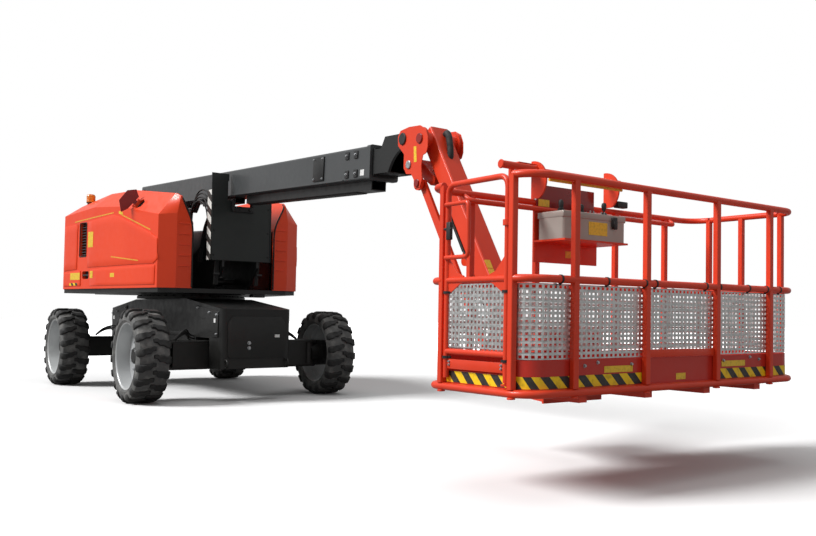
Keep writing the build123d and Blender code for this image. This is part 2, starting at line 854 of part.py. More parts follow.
mid_start = moved(boom_pivot, turned((320, 0), boom_pitch))
with BuildPart() as mid_boom:
    add(hollow_beam(mid_start, boom_pitch, boom_len - 320 + 30, mid_w, mid_h, boom_wall))
    with BuildSketch(across(moved(boom_pivot, turned((boom_len - 30, 0), boom_pitch)), boom_pitch)):
        RectangleRounded(mid_w, mid_h, 2 * boom_wall)
        RectangleRounded(nose_w + 1, nose_h + 1, 2 * boom_wall, mode=Mode.SUBTRACT)
    extrude(amount=60)
mid_boom.part.label = "mid_boom"
export_step(mid_boom.part, "parts/mid_boom.step")

# Fly section with its nose plates round the nose pin
fly_start = moved(boom_pivot, turned((620, 0), boom_pitch))
fly_end = nose_reach - 330
with BuildPart() as fly_boom:
    add(hollow_beam(fly_start, boom_pitch, fly_end - 620, nose_w, nose_h, boom_wall))
    with BuildSketch(side(nose_pin, boom_pitch)):
        with BuildLine():
            Polyline(
                (-540, -nose_rise - nose_h / 2),
                (-540, -nose_rise + nose_h / 2),
                (-430, -nose_rise + nose_h / 2),
                (-370, 65),
                (30, 65),
                (30, -nose_rise - nose_h / 2),
                close=True,
            )
        make_face()
        with Locations((0, -370)):
            Circle(325, mode=Mode.SUBTRACT)
        with Locations((40, -200)):
            Rectangle(120, 300, mode=Mode.SUBTRACT)
        Circle(75)
    extrude(amount=nose_w / 2 + nose_plate_t, both=True)
    with BuildSketch(side(nose_pin, boom_pitch)):
        Rectangle(1400, 800)
    extrude(amount=nose_w / 2, both=True, mode=Mode.SUBTRACT)
    add(hollow_beam(fly_start, boom_pitch, fly_end - 620, nose_w, nose_h, boom_wall))
    with BuildSketch(side(nose_pin)):
        Circle(60)
    extrude(amount=nose_w / 2 + nose_plate_t, both=True)
    with BuildSketch(side(nose_pin)):
        Circle(nose_pin_r + running_gap)
    extrude(amount=nose_w, both=True, mode=Mode.SUBTRACT)
fly_boom.part.label = "fly_boom"
export_step(fly_boom.part, "parts/fly_boom.step")

# Hose tray slung under the outer section
tray_start = moved(boom_pivot, turned((3300, -boom_h / 2 - 45), boom_pitch))
with BuildPart() as hose_tray:
    with BuildSketch(across(tray_start, boom_pitch)):
        Rectangle(150, 90)
        with Locations((0, 10)):
            Rectangle(134, 90, mode=Mode.SUBTRACT)
    extrude(amount=boom_len - 3300 - 80)
hose_tray.part.label = "hose_tray"
export_step(hose_tray.part, "parts/hose_tray.step")

# Levelled jib base: two cheek plates on the nose pin, with the jib and link pins
ram_foot = moved(jib_pin, turned((300, -151), jib_angle))
cheek_out = cheek_inner + cheek_t
with BuildPart() as jib_base:
    with BuildSketch(side()):
        for place, radius in ((nose_pin, 80), (jib_pin, 95), (level_pin, 70), (link_pin, 58)):
            with Locations(place):
                Circle(radius)
        with BuildLine():
            Polyline(nose_pin, jib_pin, link_pin, level_pin, close=True)
        make_face()
    extrude(amount=cheek_out, both=True)
    with BuildSketch(side(jib_pin)):
        Rectangle(1600, 1600)
    extrude(amount=cheek_inner, both=True, mode=Mode.SUBTRACT)
    for place, radius in ((nose_pin, nose_pin_r), (jib_pin, jib_pin_r), (level_pin, link_pin_r)):
        with BuildSketch(side(place)):
            Circle(radius)
        extrude(amount=cheek_out + 12, both=True)
    with BuildSketch(side(link_pin)):
        Circle(link_pin_r)
    extrude(amount=cheek_out + 12, both=True)
    with BuildSketch(side(link_pin)):
        Circle(link_pin_r + 30)
    extrude(amount=95, both=True, mode=Mode.SUBTRACT)
    with BuildSketch(side()):
        for place, radius in ((level_pin, 55), (ram_foot, 42)):
            with Locations(place):
                Circle(radius)
        with BuildLine():
            Polyline(
                moved(level_pin, (-35, -42)),
                moved(level_pin, (35, 42)),
                moved(ram_foot, (24, 34)),
                moved(ram_foot, (-24, -34)),
                close=True,
            )
        make_face()
    extrude(amount=80, both=True)
    with BuildSketch(side(ram_foot)):
        Circle(62)
        with Locations((50, 0)):
            Rectangle(200, 180)
    extrude(amount=44, both=True, mode=Mode.SUBTRACT)
    with BuildSketch(side(ram_foot)):
        Circle(link_pin_r)
    extrude(amount=80, both=True)
jib_base.part.label = "jib_base"
export_step(jib_base.part, "parts/jib_base.step")

# Jib boom, a square tube with a boss at each end and the ram's lugs below
ram_head = moved(jib_pin, turned((1100, -151), jib_angle))
jib_mid = (jib_over - jib_under) / 2
jib_h = jib_over + jib_under
with BuildPart() as jib_boom:
    add(
        hollow_beam(
            moved(jib_pin, turned((-80, jib_mid), jib_angle)),
            jib_angle,
            jib_len + 150,
            jib_w,
            jib_h,
            jib_wall,
        )
    )
    for place in (jib_pin, jib_end):
        with BuildSketch(side(place)):
            Circle(62)
        extrude(amount=(cheek_inner if place is jib_pin else support_inner) - running_gap, both=True)
    with BuildSketch(side(jib_pin, jib_angle)):
        with BuildLine():
            Polyline((990, -jib_under + 2), (1210, -jib_under + 2), (1140, -160), (1060, -160), close=True)
        make_face()
        with Locations((1100, -151)):
            Circle(40)
    extrude(amount=65, both=True)
    with BuildSketch(side(ram_head, jib_angle)):
        with Locations((0, -5)):
            Rectangle(300, 140)
    extrude(amount=37, both=True, mode=Mode.SUBTRACT)
    for place in (jib_pin, jib_end):
        with BuildSketch(side(place)):
            Circle(jib_pin_r + running_gap)
        extrude(amount=cheek_inner, both=True, mode=Mode.SUBTRACT)
jib_boom.part.label = "jib_boom"
export_step(jib_boom.part, "parts/jib_boom.step")

# Parallel link: two side bars tied by a plate
link_in = 105
with BuildPart() as jib_link:
    with BuildSketch(side(link_pin, jib_angle)):
        with Locations((jib_len / 2, 0)):
            SlotCenterToCenter(jib_len, link_bar_h)
        with Locations((0, 0), (jib_len, 0)):
            Circle(link_pin_r + running_gap, mode=Mode.SUBTRACT)
    extrude(amount=link_in + link_bar_t, both=True)
    with BuildSketch(side(link_pin, jib_angle)):
        with Locations((jib_len / 2, 0)):
            Rectangle(jib_len + 200, 2 * link_bar_h)
    extrude(amount=link_in, both=True, mode=Mode.SUBTRACT)
    with BuildSketch(side(link_pin, jib_angle)):
        with Locations((jib_len - 125, -link_bar_h / 2 + 6)):
            Rectangle(110, 12)
    extrude(amount=link_in + 5, both=True)
jib_link.part.label = "jib_link"
export_step(jib_link.part, "parts/jib_link.step")

# Levelled support at the jib's end, with the rotator's housing
rotator_low = 445
rotator_high = 865
support_half = support_inner + support_t
with BuildPart() as jib_support:
    with BuildSketch(side()):
        with Locations(jib_end):
            Circle(70)
        with Locations(link_end):
            Circle(55)
        with BuildLine():
            Polyline(
                moved(link_end, (-55, 0)),
                moved(jib_end, (-70, 0)),
                moved(jib_end, (0, 70)),
                (rotator_x - 210, rotator_high - 8),
                (rotator_x - 30, rotator_high - 8),
                (rotator_x - 30, rotator_low + 30),
                moved(link_end, (0, -55)),
                close=True,
            )
        make_face()
    extrude(amount=support_half, both=True)
    with BuildSketch(side(jib_end)):
        with Locations((-375, -200)):
            Rectangle(1000, 1400)
    extrude(amount=support_inner, both=True, mode=Mode.SUBTRACT)
    with BuildSketch(plan(rotator_low, rotator_x)):
        Circle(rotator_r)
    extrude(amount=rotator_high - rotator_low)
    with BuildSketch(plan(rotator_low, rotator_x)):
        Circle(40 + running_gap)
    extrude(amount=rotator_high - rotator_low, mode=Mode.SUBTRACT)
    for place, radius in ((jib_end, jib_pin_r), (link_end, link_pin_r)):
        with BuildSketch(side(place)):
            Circle(radius)
        extrude(amount=support_half + 12, both=True)
    with BuildSketch(side(link_end)):
        Circle(link_pin_r + 10)
    extrude(amount=100, both=True, mode=Mode.SUBTRACT)
jib_support.part.label = "jib_support"
export_step(jib_support.part, "parts/jib_support.step")

# Rams: tower lift, main lift and jib lift
rams = (
    ("tower_ram", tower_ram_foot, tower_ram_head, 62, 960, 60, 35, 76),
    ("lift_ram", lift_foot, lift_head, 62, 1060, 60, 35, 76),
    ("jib_ram", ram_foot, ram_head, 38, 690, 38, link_pin_r, 66),
)
for name, foot, head, radius, length, eye_r, foot_pin, eye_w in rams:
    with BuildPart() as barrel:
        add(ram_body(foot, head, radius, length, eye_r, foot_pin, eye_w))
    barrel.part.label = f"{name}_barrel"
    export_step(barrel.part, f"parts/{name}_barrel.step")
    with BuildPart() as rod:
        add(ram_rod(foot, head, radius, math.dist(foot, head) - eye_r - 40, eye_r * 0.8, eye_w))
    rod.part.label = f"{name}_rod"
    export_step(rod.part, f"parts/{name}_rod.step")


# Platform
def rail_path(z):
    """The rounded outline that every ring of the platform follows, as an edge loop."""
    with BuildLine(plan(z, platform_mid)) as outline:
        with BuildSketch(plan(z, platform_mid), mode=Mode.PRIVATE) as loop:
            RectangleRounded(platform_d, platform_l, corner_r)
        add(loop.sketch.face().outer_wire())
    return outline.wires()[0]


def rail_loop(z):
    """A round tube along the whole outline."""
    loop = rail_path(z)
    with BuildPart() as rail:
        with BuildSketch(Plane(loop @ 0, z_dir=loop % 0)):
            Circle(rail_r)
        sweep(path=loop)
    return rail.part


def posts(places, low, high):
    """Square posts at plan places, between two heights."""
    with BuildPart() as stand:
        with BuildSketch(plan(low, platform_mid)):
            with Locations(*places):
                RectangleRounded(2 * post_half, 2 * post_half, 6)
        extrude(amount=high - low)
    return stand.part


half_l = platform_l / 2
half_d = platform_d / 2
with BuildPart() as platform_floor:
    add(rail_loop(ring_z))
    with BuildSketch(plan(ring_z, platform_mid)):
        RectangleRounded(platform_d, platform_l, corner_r)
    extrude(amount=rail_r)
    with BuildSketch(plan(floor_z, platform_mid)):
        RectangleRounded(
            platform_d - 2 * deck_inset, platform_l - 2 * deck_inset, corner_r - deck_inset
        )
    extrude(amount=deck_plate_t)
    with BuildSketch(plan(ring_z - 60, platform_mid)):
        for y in (-800, -270, 270, 800):
            with Locations((0, y)):
                Rectangle(platform_d - 60, 60)
    extrude(amount=60)
platform_floor.part.label = "platform_floor"
export_step(platform_floor.part, "parts/platform_floor.step")

front_places = [(half_d, s * y) for s in (-1, 1) for y in (front_post_out, front_post_in)]
side_front = half_d - side_post_in
side_back = -half_d + 167
side_places = [(x, s * half_l) for s in (-1, 1) for x in (side_front, side_back)]
back_places = [(-half_d, y) for y in (-900, -370, 370, 900)]

with BuildPart() as top_ring:
    add(rail_loop(top_z))
with BuildPart() as mid_ring:
    add(rail_loop(mid_z))

# The railing is split where its panels meet, so that each panel stays open
split_box_h = 1400


def railing(name, low_x, high_x, low_y, high_y, keep_places):
    """One panel of the railing: its share of both rails and its posts."""
    with BuildPart() as panel:
        add(top_ring.part)
        add(mid_ring.part)
        with BuildSketch(plan(floor_z, platform_mid)):
            with Locations(((low_x + high_x) / 2, (low_y + high_y) / 2)):
                Rectangle(high_x - low_x, high_y - low_y)
        extrude(amount=split_box_h, mode=Mode.INTERSECT)
        add(posts(keep_places, floor_z, top_z))
        if name == "front_railing":
            add(gate_hinge())
    panel.part.label = name
    export_step(panel.part, f"parts/{name}.step")


edge = 100
gate_tube = 17
gate_low = floor_z + 28
gate_collar_z = 1450
gate_back = side_back + post_half + 25
gate_front = side_front - post_half - 25


def gate_hinge():
    """Foot pin and collar on the side post that the gate swings on."""
    with BuildPart() as hinge:
        for low, height in ((gate_low - 12, 10), (gate_collar_z, 30)):
            with BuildSketch(plan(low, platform_mid)):
                with Locations((gate_front, -half_l)):
                    Circle(gate_tube + 10)
                with Locations(((gate_front + side_front) / 2, -half_l)):
                    Rectangle(side_front - gate_front, 24)
                if low == gate_collar_z:
                    with Locations((gate_front, -half_l)):
                        Circle(gate_tube + running_gap, mode=Mode.SUBTRACT)
            extrude(amount=height)
        with BuildSketch(plan(gate_low - 4, platform_mid)):
            with Locations((gate_front, -half_l)):
                Circle(9)
        extrude(amount=60)
    return hinge.part


railing("front_railing", side_front, half_d + edge, -half_l - edge, half_l + edge,
        front_places + [side_places[0], side_places[2]])
railing("back_railing", -half_d - edge, side_back, -half_l - edge, half_l + edge,
        back_places + [side_places[1], side_places[3]])
railing("left_railing", side_back + post_half, side_front - post_half, 0, half_l + edge, [(0, half_l)])

# Toe boards and perforated sheets stand inside the posts
skin_in = post_half + 0.5


def skirt(low, high, thick):
    """A band inside the posts round three sides, open at the gate."""
    with BuildPart() as band:
        with BuildSketch(plan(low, platform_mid)):
            RectangleRounded(platform_d - 2 * skin_in, platform_l - 2 * skin_in, corner_r - skin_in)
            RectangleRounded(
                platform_d - 2 * skin_in - 2 * thick,
                platform_l - 2 * skin_in - 2 * thick,
                corner_r - skin_in - thick,
                mode=Mode.SUBTRACT,
            )
            with Locations(((side_front + side_back) / 2, -half_l)):
                Rectangle(side_front - side_back, 200, mode=Mode.SUBTRACT)
        extrude(amount=high - low)
    return band.part


with BuildPart() as toe_board:
    add(skirt(floor_z, floor_z + toe_h, 4))
toe_board.part.label = "toe_board"
export_step(toe_board.part, "parts/toe_board.step")

with BuildPart() as mesh_sheets:
    add(skirt(floor_z + toe_h + 5, mid_z - rail_r - 4, sheet_t))
mesh_sheets.part.label = "mesh_sheets"
export_step(mesh_sheets.part, "parts/mesh_sheets.step")

# Side gate: a bent tube with a lower bar, gussets and its own sheet
gate_plane = side((platform_mid, 0)).offset(half_l)
with BuildPart() as side_gate:
    with BuildLine(gate_plane) as arch_line:
        FilletPolyline(
            (gate_back, gate_low),
            (gate_back, top_z),
            (gate_front, top_z),
            (gate_front, gate_low),
            radius=70,
        )
    with BuildSketch(Plane(arch_line.line @ 0, z_dir=arch_line.line % 0)):
        Circle(gate_tube)
    sweep()
    with BuildSketch(across((platform_mid + gate_back, 0))):
        with Locations((-half_l, mid_z), (-half_l, gate_low + toe_h)):
            Circle(gate_tube - 2)
    extrude(amount=gate_front - gate_back)
    with BuildSketch(gate_plane):
        with Locations(((gate_back + gate_front) / 2, (gate_low + mid_z) / 2)):
            Rectangle(gate_front - gate_back, mid_z - gate_low)
    extrude(amount=3, both=True)
    with BuildSketch(plan(gate_low - 1, platform_mid)):
        with Locations((gate_front, -half_l)):
            Circle(9 + running_gap)
    extrude(amount=62, mode=Mode.SUBTRACT)
side_gate.part.label = "side_gate"
export_step(side_gate.part, "parts/side_gate.step")

# Bracket between the rotator and the platform's back
bracket_half = 220
with BuildPart() as platform_bracket:
    for level in (rotator_low - 10 - 30, rotator_high + 10):
        with BuildSketch(plan(level, rotator_x)):
            Circle(rotator_r + 10)
            with BuildLine():
                Polyline(
                    (0, rotator_r + 10),
                    (platform_gap - rail_r - 16, bracket_half),
                    (platform_gap - rail_r - 16, -bracket_half),
                    (0, -rotator_r - 10),
                    close=True,
                )
            make_face()
        extrude(amount=30)
    with BuildSketch(across((platform_back - rail_r - 16, 0))):
        with Locations((0, (rotator_low + rotator_high) / 2)):
            Rectangle(2 * bracket_half + 100, rotator_high - rotator_low + 80)
    extrude(amount=16)
    with BuildSketch(plan(rotator_low - 40, rotator_x)):
        Circle(40)
    extrude(amount=rotator_high - rotator_low + 80)
platform_bracket.part.label = "platform_bracket"
export_step(platform_bracket.part, "parts/platform_bracket.step")

# Control console on the back rail, and the guard over it
console_y = -130
console_w = 560
with BuildPart() as console:
    with BuildSketch(across((platform_back + 60, 1464.5))):
        with Locations((console_y, 85)):
            Rectangle(console_w, 170)
    extrude(amount=240)
    fillet(console.edges().filter_by(Axis.Z), 20)
console.part.label = "console"
export_step(console.part, "parts/console.step")

with BuildPart() as console_tray:
    with BuildSketch(across((platform_back + post_half + 0.5, 0))):
        with Locations((console_y, 1500)):
            Rectangle(console_w + 10, 350)
    extrude(amount=12)
    with BuildSketch(plan(1452, platform_back)):
        with Locations((172, console_y)):
            Rectangle(300, console_w + 10)
    extrude(amount=12)
console_tray.part.label = "console_tray"
export_step(console_tray.part, "parts/console_tray.step")

guard_ends = (-400, 270)
guard_r = 130
with BuildPart() as console_guard:
    for y in guard_ends:
        with BuildSketch(side((platform_back, top_z + 136)).offset(-y - 6)):
            Circle(guard_r)
            with Locations((-115, 0), (0, rail_r - 136 + running_gap - guard_r)):
                Rectangle(200, 2 * guard_r, mode=Mode.SUBTRACT)
        extrude(amount=12)
    with BuildSketch(side((platform_back + 30, top_z + 206)).offset(-guard_ends[0])):
        Circle(17)
    extrude(amount=guard_ends[0] - guard_ends[1] - 110)
console_guard.part.label = "console_guard"
export_step(console_guard.part, "parts/console_guard.step")
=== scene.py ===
"""Studio scene of a self-propelled boom lift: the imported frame, its finishes and its detailed pieces."""
import logging
import math
from dataclasses import dataclass
from enum import Enum
from typing import Iterable, Sequence

import bpy
from mathutils import Matrix, Vector


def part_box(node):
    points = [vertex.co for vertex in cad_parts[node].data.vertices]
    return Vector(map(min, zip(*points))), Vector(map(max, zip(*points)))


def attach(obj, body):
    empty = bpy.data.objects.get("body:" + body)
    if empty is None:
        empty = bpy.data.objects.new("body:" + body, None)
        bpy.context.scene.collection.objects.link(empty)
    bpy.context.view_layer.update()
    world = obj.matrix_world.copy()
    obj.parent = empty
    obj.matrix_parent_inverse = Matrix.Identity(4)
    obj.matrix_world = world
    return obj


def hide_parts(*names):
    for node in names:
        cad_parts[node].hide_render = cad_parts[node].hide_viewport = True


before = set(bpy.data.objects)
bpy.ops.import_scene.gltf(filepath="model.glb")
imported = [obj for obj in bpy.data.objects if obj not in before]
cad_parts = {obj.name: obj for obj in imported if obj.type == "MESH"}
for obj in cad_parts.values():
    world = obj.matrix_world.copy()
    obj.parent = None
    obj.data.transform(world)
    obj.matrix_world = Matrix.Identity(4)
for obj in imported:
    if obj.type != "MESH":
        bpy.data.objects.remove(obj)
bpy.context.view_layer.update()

LOG = logging.getLogger("boom_lift")
Point = tuple[float, float, float]
Colour = tuple[float, float, float]

SLEW_X = -2.998845
UP = Vector((0, 0, 1))
AHEAD = Vector((1, 0, 0))
SHADE_ANGLE = math.radians(36)
BEVEL_ANGLE = math.radians(34)


def at(x: float, y: float, z: float) -> Vector:
    """Turns a place in millimetres from the slew axis into metres in the frame.

    Args:
        x: Forward of the slew axis.
        y: To the machine's left.
        z: Above the ground.

    Returns:
        The place in the frame.
    """
    return Vector((x / 1000 + SLEW_X, y / 1000, z / 1000))


def pitched(pivot: tuple[float, float], pitch: float, reach: float, y: float, rise: float) -> Vector:
    """A place on a boom that is pitched about its pivot.

    Args:
        pivot: The pivot's x and z.
        pitch: The boom's angle in degrees.
        reach: Distance along the boom.
        y: To the machine's left.
        rise: Height above the boom's middle line.

    Returns:
        The place in the frame.
    """
    turn = math.radians(pitch)
    return at(pivot[0] + reach * math.cos(turn) - rise * math.sin(turn), y,
              pivot[1] + reach * math.sin(turn) + rise * math.cos(turn))


def upright(low: Point, high: Point) -> list[Vector]:
    """The corners of an upright rectangle between two of its corners."""
    (x0, y0, z0), (x1, y1, z1) = low, high
    return [at(x0, y0, z0), at(x1, y1, z0), at(x1, y1, z1), at(x0, y0, z1)]


class Hand(Enum):
    """The two sides of the machine, with the sign of their Y."""

    LEFT = 1
    RIGHT = -1

    @property
    def side(self) -> str:
        """The side's name in lower case."""
        return self.name.lower()


class Facing(Enum):
    """The direction across the stripes, for strips round the toe boards and strips on a post."""

    ROUND = (0.72, 0.72, 0.72)
    POST = (0.5, 0.5, 0.72)


def linear(colour: Colour) -> tuple[float, float, float, float]:
    """Turns a display colour from 0 to 255 into a linear one for a shader.

    Args:
        colour: Red, green and blue as they show on a display.

    Returns:
        The linear colour with full alpha.
    """
    parts = [c / 255 for c in colour]
    mixed = [c / 12.92 if c <= 0.04045 else ((c + 0.055) / 1.055) ** 2.4 for c in parts]
    return (mixed[0], mixed[1], mixed[2], 1.0)


class Graph:
    """A material's node graph with the few steps that every finish needs."""

    def __init__(self, name: str) -> None:
        """Starts a material with one shader."""
        self.material = bpy.data.materials.new(name)
        self.material.use_nodes = True
        self.nodes = self.material.node_tree.nodes
        self.links = self.material.node_tree.links
        self.shader = self.nodes["Principled BSDF"]
        self.place = self.nodes.new("ShaderNodeTexCoord").outputs["Object"]

    def set(self, **values: object) -> None:
        """Sets the shader's own sockets; an underscore stands for a blank."""
        for key, value in values.items():
            self.shader.inputs[key.replace("_", " ")].default_value = value

    def feed(self, socket: str, source: bpy.types.NodeSocket) -> None:
        """Links a source to one of the shader's sockets."""
        self.links.new(source, self.shader.inputs[socket])

    def stretched(self, scale: Point) -> bpy.types.NodeSocket:
        """Object coordinates stretched along the axes."""
        node = self.nodes.new("ShaderNodeMapping")
        node.inputs["Scale"].default_value = scale
        self.links.new(self.place, node.inputs["Vector"])
        return node.outputs["Vector"]

    def noise(self, scale: float, detail: float = 4.0, stretch: Point = (1, 1, 1)) -> bpy.types.NodeSocket:
        """A cloud pattern.

        Args:
            scale: Waves a metre.
            detail: Octaves.
            stretch: Stretch along the axes.

        Returns:
            The pattern's value.
        """
        node = self.nodes.new("ShaderNodeTexNoise")
        node.inputs["Scale"].default_value = scale
        node.inputs["Detail"].default_value = detail
        self.links.new(self.stretched(stretch) if stretch != (1, 1, 1) else self.place, node.inputs["Vector"])
        return node.outputs["Fac"]

    def cells(self, scale: float) -> bpy.types.NodeSocket:
        """A pattern of cells with one tone each, as on zinc."""
        node = self.nodes.new("ShaderNodeTexVoronoi")
        node.inputs["Scale"].default_value = scale
        self.links.new(self.place, node.inputs["Vector"])
        return node.outputs["Color"]

    def ramp(self, source: bpy.types.NodeSocket,
             stops: Sequence[tuple[float, Colour]]) -> bpy.types.NodeSocket:
        """Colours a value by stops of display colours."""
        node = self.nodes.new("ShaderNodeValToRGB")
        elements = node.color_ramp.elements
        while len(elements) < len(stops):
            elements.new(1.0)
        for element, (spot, colour) in zip(elements, stops):
            element.position = spot
            element.color = linear(colour)
        self.links.new(source, node.inputs["Fac"])
        return node.outputs["Color"]

    def span(self, source: bpy.types.NodeSocket, low: float, high: float, start: float = 0.0,
             end: float = 1.0) -> bpy.types.NodeSocket:
        """Maps a value from start and end to low and high."""
        node = self.nodes.new("ShaderNodeMapRange")
        for key, value in (("From Min", start), ("From Max", end), ("To Min", low), ("To Max", high)):
            node.inputs[key].default_value = value
        self.links.new(source, node.inputs["Value"])
        return node.outputs["Result"]

    def maths(self, kind: str, first: bpy.types.NodeSocket,
              second: bpy.types.NodeSocket | float) -> bpy.types.NodeSocket:
        """One sum of two values."""
        node = self.nodes.new("ShaderNodeMath")
        node.operation = kind
        self.links.new(first, node.inputs[0])
        if isinstance(second, (int, float)):
            node.inputs[1].default_value = second
        else:
            self.links.new(second, node.inputs[1])
        return node.outputs[0]

    def blend(self, share: bpy.types.NodeSocket | float, first: bpy.types.NodeSocket,
              second: bpy.types.NodeSocket) -> bpy.types.NodeSocket:
        """Mixes two colours by a share."""
        node = self.nodes.new("ShaderNodeMix")
        node.data_type = "RGBA"
        if isinstance(share, (int, float)):
            node.inputs["Factor"].default_value = share
        else:
            self.links.new(share, node.inputs["Factor"])
        self.links.new(first, node.inputs[6])
        self.links.new(second, node.inputs[7])
        return node.outputs[2]

    def axis(self, name: str) -> bpy.types.NodeSocket:
        """One of the object coordinates: X, Y or Z."""
        node = self.nodes.new("ShaderNodeSeparateXYZ")
        self.links.new(self.place, node.inputs[0])
        return node.outputs[name]

    def along(self, direction: Point) -> bpy.types.NodeSocket:
        """The distance along a direction."""
        node = self.nodes.new("ShaderNodeVectorMath")
        node.operation = "DOT_PRODUCT"
        node.inputs[1].default_value = direction
        self.links.new(self.place, node.inputs[0])
        return node.outputs["Value"]

    def bump(self, height: bpy.types.NodeSocket, strength: float, depth: float) -> None:
        """Gives the shader relief from a height."""
        node = self.nodes.new("ShaderNodeBump")
        node.inputs["Strength"].default_value = strength
        node.inputs["Distance"].default_value = depth
        self.links.new(height, node.inputs["Height"])
        self.feed("Normal", node.outputs["Normal"])


@dataclass(frozen=True)
class Paint:
    """Sprayed paint with slight orange peel, uneven gloss and a film of dust near the ground."""

    name: str
    colour: Colour
    shade: Colour
    roughness: float = 0.3
    coat: float = 0.4
    metal: float = 0.0
    peel: float = 0.06
    grain: float = 260.0
    dust: float = 0.12

    def make(self) -> bpy.types.Material:
        """Builds the material."""
        graph = Graph(self.name)
        tone = graph.ramp(graph.noise(1.7, 5), [(0.3, self.shade), (0.62, self.colour)])
        low = graph.span(graph.axis("Z"), 1.0, 0.0, 0.0, 1.3)
        film = graph.maths("MULTIPLY", graph.maths("MULTIPLY", low, graph.noise(9, 7)), self.dust)
        dust_and_light_tone = graph.ramp(graph.noise(40, 3), [(0.2, (120, 110, 98)), (0.8, (158, 148, 134))])
        graph.feed("Base Color", graph.blend(film, tone, dust_and_light_tone))
        graph.feed("Roughness", graph.span(graph.noise(14, 6), self.roughness - 0.05, self.roughness + 0.12,
                                           0.3, 0.75))
        graph.set(Metallic=self.metal, Coat_Weight=self.coat, Coat_Roughness=0.09, Specular_IOR_Level=0.36)
        graph.bump(graph.noise(self.grain, 2), self.peel, 0.002)
        return graph.material


@dataclass(frozen=True)
class Rubber:
    """Tyre rubber with moulding haze and dry dust; in the sidewall rubber the pale base and pale dust tone
    are painted light, a lit copy of the tyre rubber.
    """

    name: str
    colour: Colour
    # The dust colour; in the sidewall rubber its pale grey is painted light for the lit sidewalls.
    dust: Colour
    share: float = 0.5

    def make(self) -> bpy.types.Material:
        """Builds the material."""
        graph = Graph(self.name)
        base = graph.ramp(graph.noise(7, 6), [(0.3, self.colour), (0.75, tuple(c + 14 for c in self.colour))])
        # Dust tone; in the sidewall rubber this pale tone is painted light, not dust.
        dust_and_light_tone = graph.ramp(graph.noise(60, 4), [(0.2, self.dust), (0.8, tuple(c * 0.8 for c in self.dust))])
        share = graph.span(graph.noise(11, 8), 0.0, self.share, 0.45, 0.75)
        graph.feed("Base Color", graph.blend(share, base, dust_and_light_tone))
        graph.feed("Roughness", graph.span(graph.noise(25, 5), 0.62, 0.92, 0.3, 0.7))
        graph.bump(graph.noise(170, 6), 0.16, 0.002)
        return graph.material


@dataclass(frozen=True)
class Metal:
    """Bare or plated metal: zinc with its spangle, or ground and chromed steel."""

    name: str
    colour: Colour
    roughness: float
    spangle: float = 0.0
    drawn: Point = (1, 1, 1)

    def make(self) -> bpy.types.Material:
        """Builds the material."""
        graph = Graph(self.name)
        dark = tuple(c * 0.86 for c in self.colour)
        tone = graph.ramp(graph.noise(30, 5, self.drawn), [(0.3, dark), (0.7, self.colour)])
        rough = graph.span(graph.noise(55, 6, self.drawn), self.roughness - 0.06, self.roughness + 0.12, 0.3,
                           0.7)
        if self.spangle:
            flakes = graph.cells(70)
            tone = graph.blend(self.spangle, tone, graph.ramp(flakes, [(0.1, dark), (0.9, (236, 238, 240))]))
            rough = graph.maths("ADD", rough, graph.span(flakes, -0.06, 0.1))
        graph.feed("Base Color", tone)
        graph.feed("Roughness", rough)
        graph.set(Metallic=0.9)
        graph.bump(graph.noise(120, 4, self.drawn), 0.08, 0.001)
        return graph.material


@dataclass(frozen=True)
class Stripes:
    """Slanting black and yellow bands on film, slightly scuffed."""

    name: str
    facing: Facing
    pitch: float = 0.13
    first: Colour = (250, 208, 16)
    second: Colour = (26, 24, 22)

    def make(self) -> bpy.types.Material:
        """Builds the material."""
        graph = Graph(self.name)
        run = graph.maths("FRACT", graph.maths("DIVIDE", graph.along(self.facing.value), self.pitch), 0.0)
        bands = graph.maths("GREATER_THAN", run, 0.5)
        yellow = graph.ramp(graph.noise(30, 6), [(0.28, tuple(c * 0.82 for c in self.first)),
                                                 (0.5, self.first)])
        black = graph.ramp(graph.noise(45, 6), [(0.3, self.second), (0.8, (62, 58, 54))])
        graph.feed("Base Color", graph.blend(bands, yellow, black))
        graph.feed("Roughness", graph.span(graph.noise(35, 5), 0.34, 0.6, 0.3, 0.7))
        graph.bump(graph.noise(200, 3), 0.05, 0.001)
        return graph.material


@dataclass(frozen=True)
class Film:
    """A blank adhesive label: film over paint with a faint print grain."""

    name: str
    colour: Colour
    roughness: float = 0.42

    def make(self) -> bpy.types.Material:
        """Builds the material."""
        graph = Graph(self.name)
        faded = tuple(c * 0.88 for c in self.colour)
        graph.feed("Base Color", graph.ramp(graph.noise(60, 7), [(0.3, faded), (0.55, self.colour)]))
        graph.feed("Roughness", graph.span(graph.noise(80, 4), self.roughness - 0.08, self.roughness + 0.1,
                                           0.3, 0.7))
        graph.set(Coat_Weight=0.25, Coat_Roughness=0.2)
        graph.bump(graph.noise(320, 2), 0.04, 0.001)
        return graph.material


@dataclass(frozen=True)
class Plastic:
    """Moulded plastic with a leather-fine grain."""

    name: str
    colour: Colour
    roughness: float = 0.5
    clear: float = 0.0

    def make(self) -> bpy.types.Material:
        """Builds the material."""
        graph = Graph(self.name)
        pale = tuple(min(255, c * 1.25 + 8) for c in self.colour)
        graph.feed("Base Color", graph.ramp(graph.noise(18, 6), [(0.3, self.colour), (0.8, pale)]))
        graph.feed("Roughness", graph.span(graph.noise(50, 6), self.roughness - 0.1, self.roughness + 0.15,
                                           0.3, 0.7))
        graph.set(Transmission_Weight=self.clear)
        graph.bump(graph.noise(420, 2), 0.12, 0.001)
        return graph.material


